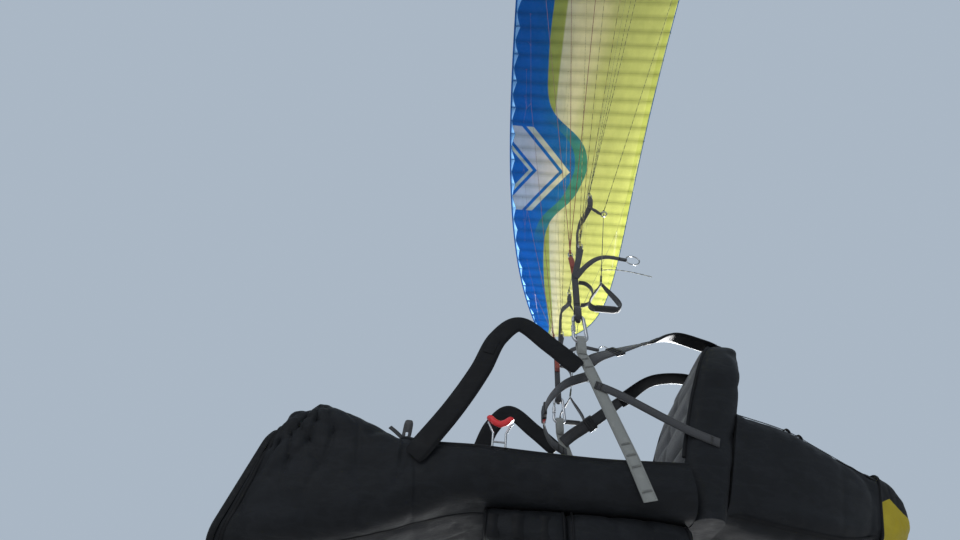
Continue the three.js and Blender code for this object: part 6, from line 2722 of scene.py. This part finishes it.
@dataclass
class Front:
    """What lies across the flyer's front: the chest strap with its buckle, and the reserve's red handle."""

    strap_width: float = 0.032
    strap_thick: float = 0.003
    stitch_reach: float = 0.0125
    grip_radius: float = 0.0080

    def build(self) -> None:
        """Models and dresses the chest strap and the reserve handle."""
        self.chest_strap()
        self.rescue_handle()

    def chest_strap(self) -> None:
        """The strap from side to side and its click buckle."""
        half = [(-0.019, 0.2263, -0.205), (0.04, 0.17, -0.2), (0.076, 0.08, -0.196), (0.084, 0.0, -0.195)]
        whole = half + [(x, -y, z) for x, y, z in half[-2::-1]]
        path = spline(np.array(whole) + HANG, 80)
        face = np.cross(headings(path), UP)
        heap = Heap().band(path, face, self.strap_width, self.strap_thick)
        out = unit(face)
        thread = stitch_pair(path, UP, out, self.stitch_reach, 0.0017, STRAP_STITCH)
        for k in (3, 7, 73, 77):
            thread += bar_tack(path[k] + out[k] * 0.0018, headings(path)[k], out[k], 0.026)
        heap.sew(thread)
        heap.make("breast_strap", [BLACK_WEB, GREY_THREAD], Body.HARNESS, Slot.BLACK_WEB, ["chest_strap"])
        centre = np.array([0.084, 0.0, -0.195]) + HANG
        shell = block("buckle", (0.014, 0.036, 0.046), centre + (0, -0.0125, 0), 0.004, BLACK_PLASTIC)
        shell = sink(shell, 0.004, -0.0015, lambda face: abs(face.normal[0]) > 0.9 and face.area > 1e-4)
        tongue = block("tongue", (0.011, 0.024, 0.042), centre + (0, 0.0185, 0), 0.003, BLACK_PLASTIC)
        tongue = sink(tongue, 0.005, -0.0012, lambda face: abs(face.normal[0]) > 0.9 and face.area > 1e-4)
        keys = [
            block("key", (0.008, 0.018, 0.006), centre + (0, -0.010, s * 0.0225), 0.002, RED_PLASTIC)
            for s in (1, -1)
        ]
        ready(joined("breast_buckle", [shell, tongue, *keys]), Body.HARNESS, Slot.DARK_PLASTIC)

    def rescue_handle(self) -> None:
        """The red grip that sags between two metal legs on the pod's left rim, and the bar across them."""
        y = POD_HALF - 0.006
        sag = [
            (0.1935, -0.367), (0.198, -0.3625), (0.210, -0.3715), (0.224, -0.3765), (0.238, -0.3715),
            (0.250, -0.3625), (0.2545, -0.367)
        ]
        grip = spline(np.array([(x, y, z) for x, z in sag]) + HANG, 54)
        run = np.linspace(0, 1, len(grip))
        size = self.grip_radius * np.clip(1.3 * np.sin(np.pi * (0.05 + 0.9 * run)) ** 0.3, 0, 1)
        rows, texture = tube_rows(grip, size, 14)
        heap = Heap().grid(rows, texture * (0.04, 1), caps=True)
        heap.make("rescue_grip", [RED_PLASTIC], Body.HARNESS, Slot.RED_PLASTIC, ["rescue_handle"])
        legs = []
        for foot, bend, end in (
            ((0.208, -0.4384), (0.208, -0.402), (0.1938, -0.374)),
            ((0.240, -0.4378), (0.240, -0.402), (0.2542, -0.374))
        ):
            low, knee, high = (np.array((x, y, z)) + HANG for x, z in (foot, bend, end))
            legs.append(turned("leg", low, knee, [(0, 0.0034), (0.1, 0.0029), (1, 0.0029)], STEEL, 14))
            legs.append(turned("leg", knee, high, [(0, 0.0029), (0.9, 0.0029), (1, 0.0034)], STEEL, 14))
        bar_z = -0.425 + HANG[2]
        profile = [(0, 0.0022), (0.5, 0.0022), (1, 0.0022)]
        bar = turned("bar", (0.206, y, bar_z), (0.242, y, bar_z), profile, STEEL, 12)
        ready(joined("rescue_pins", [*legs, bar]), Body.HARNESS, Slot.STEEL)


# Studio
@dataclass
class Studio:
    """A plain pale floor, soft light and the camera that looks up from it."""

    eye: Place = (0.239, 1.237, -8.211)
    yaw: float = 5.158
    pitch: float = 49.039
    roll: float = 8.193
    focal_pixels: float = 435.17
    picture_width: int = 960
    sensor: float = 36.0
    floor_drop: float = 0.09
    floor_size: float = 60.0

    def build(self) -> None:
        """Makes camera, floor and lights."""
        self.camera()
        self.floor()
        self.lights()

    def camera(self) -> None:
        """The photograph's view."""
        yaw, pitch, roll = (math.radians(angle) for angle in (self.yaw, self.pitch, self.roll))
        ahead = Vector((math.sin(yaw) * math.cos(pitch), -math.cos(yaw) * math.cos(pitch), math.sin(pitch)))
        right = ahead.cross(Vector((0, 0, 1))).normalized()
        up = right.cross(ahead)
        across = right * math.cos(roll) + up * math.sin(roll)
        over = up * math.cos(roll) - right * math.sin(roll)
        data = bpy.data.cameras.new("photo view")
        data.sensor_width = self.sensor
        data.lens = self.focal_pixels * self.sensor / self.picture_width
        data.clip_end = 200
        camera = bpy.data.objects.new("photo view", data)
        camera.matrix_world = Matrix((across, over, -ahead)).transposed().to_4x4()
        camera.location = self.eye
        bpy.context.collection.objects.link(camera)
        bpy.context.scene.camera = camera

    def floor(self) -> None:
        """A pale floor under the camera, with soft unevenness."""
        height = self.eye[2] - self.floor_drop
        bpy.ops.mesh.primitive_plane_add(size=self.floor_size, location=(0, 0, height))
        plane = bpy.context.active_object
        plane.name = "studio_floor"
        g = Graph("studio floor")
        cloud = g.noise(g.solid(), 1.5, 5.0, 0.6)
        plane.data.materials.append(g.dress(g.blend(cloud, (0.29, 0.3, 0.31), (0.34, 0.34, 0.34)), 0.75))

    def lights(self) -> None:
        """A pale sky, a sun over and behind the wing, and a soft fill from the camera's side."""
        scene = bpy.context.scene
        scene.view_settings.view_transform = "Standard"
        scene.world = scene.world or bpy.data.worlds.new("pale sky")
        scene.world.use_nodes = True
        sky = scene.world.node_tree.nodes["Background"]
        sky.inputs["Color"].default_value = (0.62, 0.73, 0.86, 1)
        sky.inputs["Strength"].default_value = 0.65
        suns = [
            ("sun", 17.0, 4.0, (0.35, 0.97, -0.24)), ("fill", 0.25, 60.0, (-0.3, -0.8, 0.35)),
            ("side", 0.8, 40.0, (-0.45, -0.8, -0.45))
        ]
        for name, strength, spread, towards in suns:
            data = bpy.data.lights.new(name, "SUN")
            data.energy = strength
            data.angle = math.radians(spread)
            light = bpy.data.objects.new(name, data)
            light.rotation_euler = Vector(towards).to_track_quat("-Z", "Y").to_euler()
            bpy.context.collection.objects.link(light)


def main() -> None:
    """Builds the studio and then each part of the glider."""
    logging.basicConfig(level=logging.INFO, format="%(message)s")
    risers = [Riser(side) for side in Side]
    brakes = [Brake(side) for side in Side]
    straps = [Straps(side) for side in Side]
    for part in (Studio(), *brakes, Canopy(), Rigging(), *risers, Pod(), Seat(), Back(), *straps, Front()):
        LOG.info("Building the %s", type(part).__name__)
        part.build()


if __name__ == "__main__":
    main()
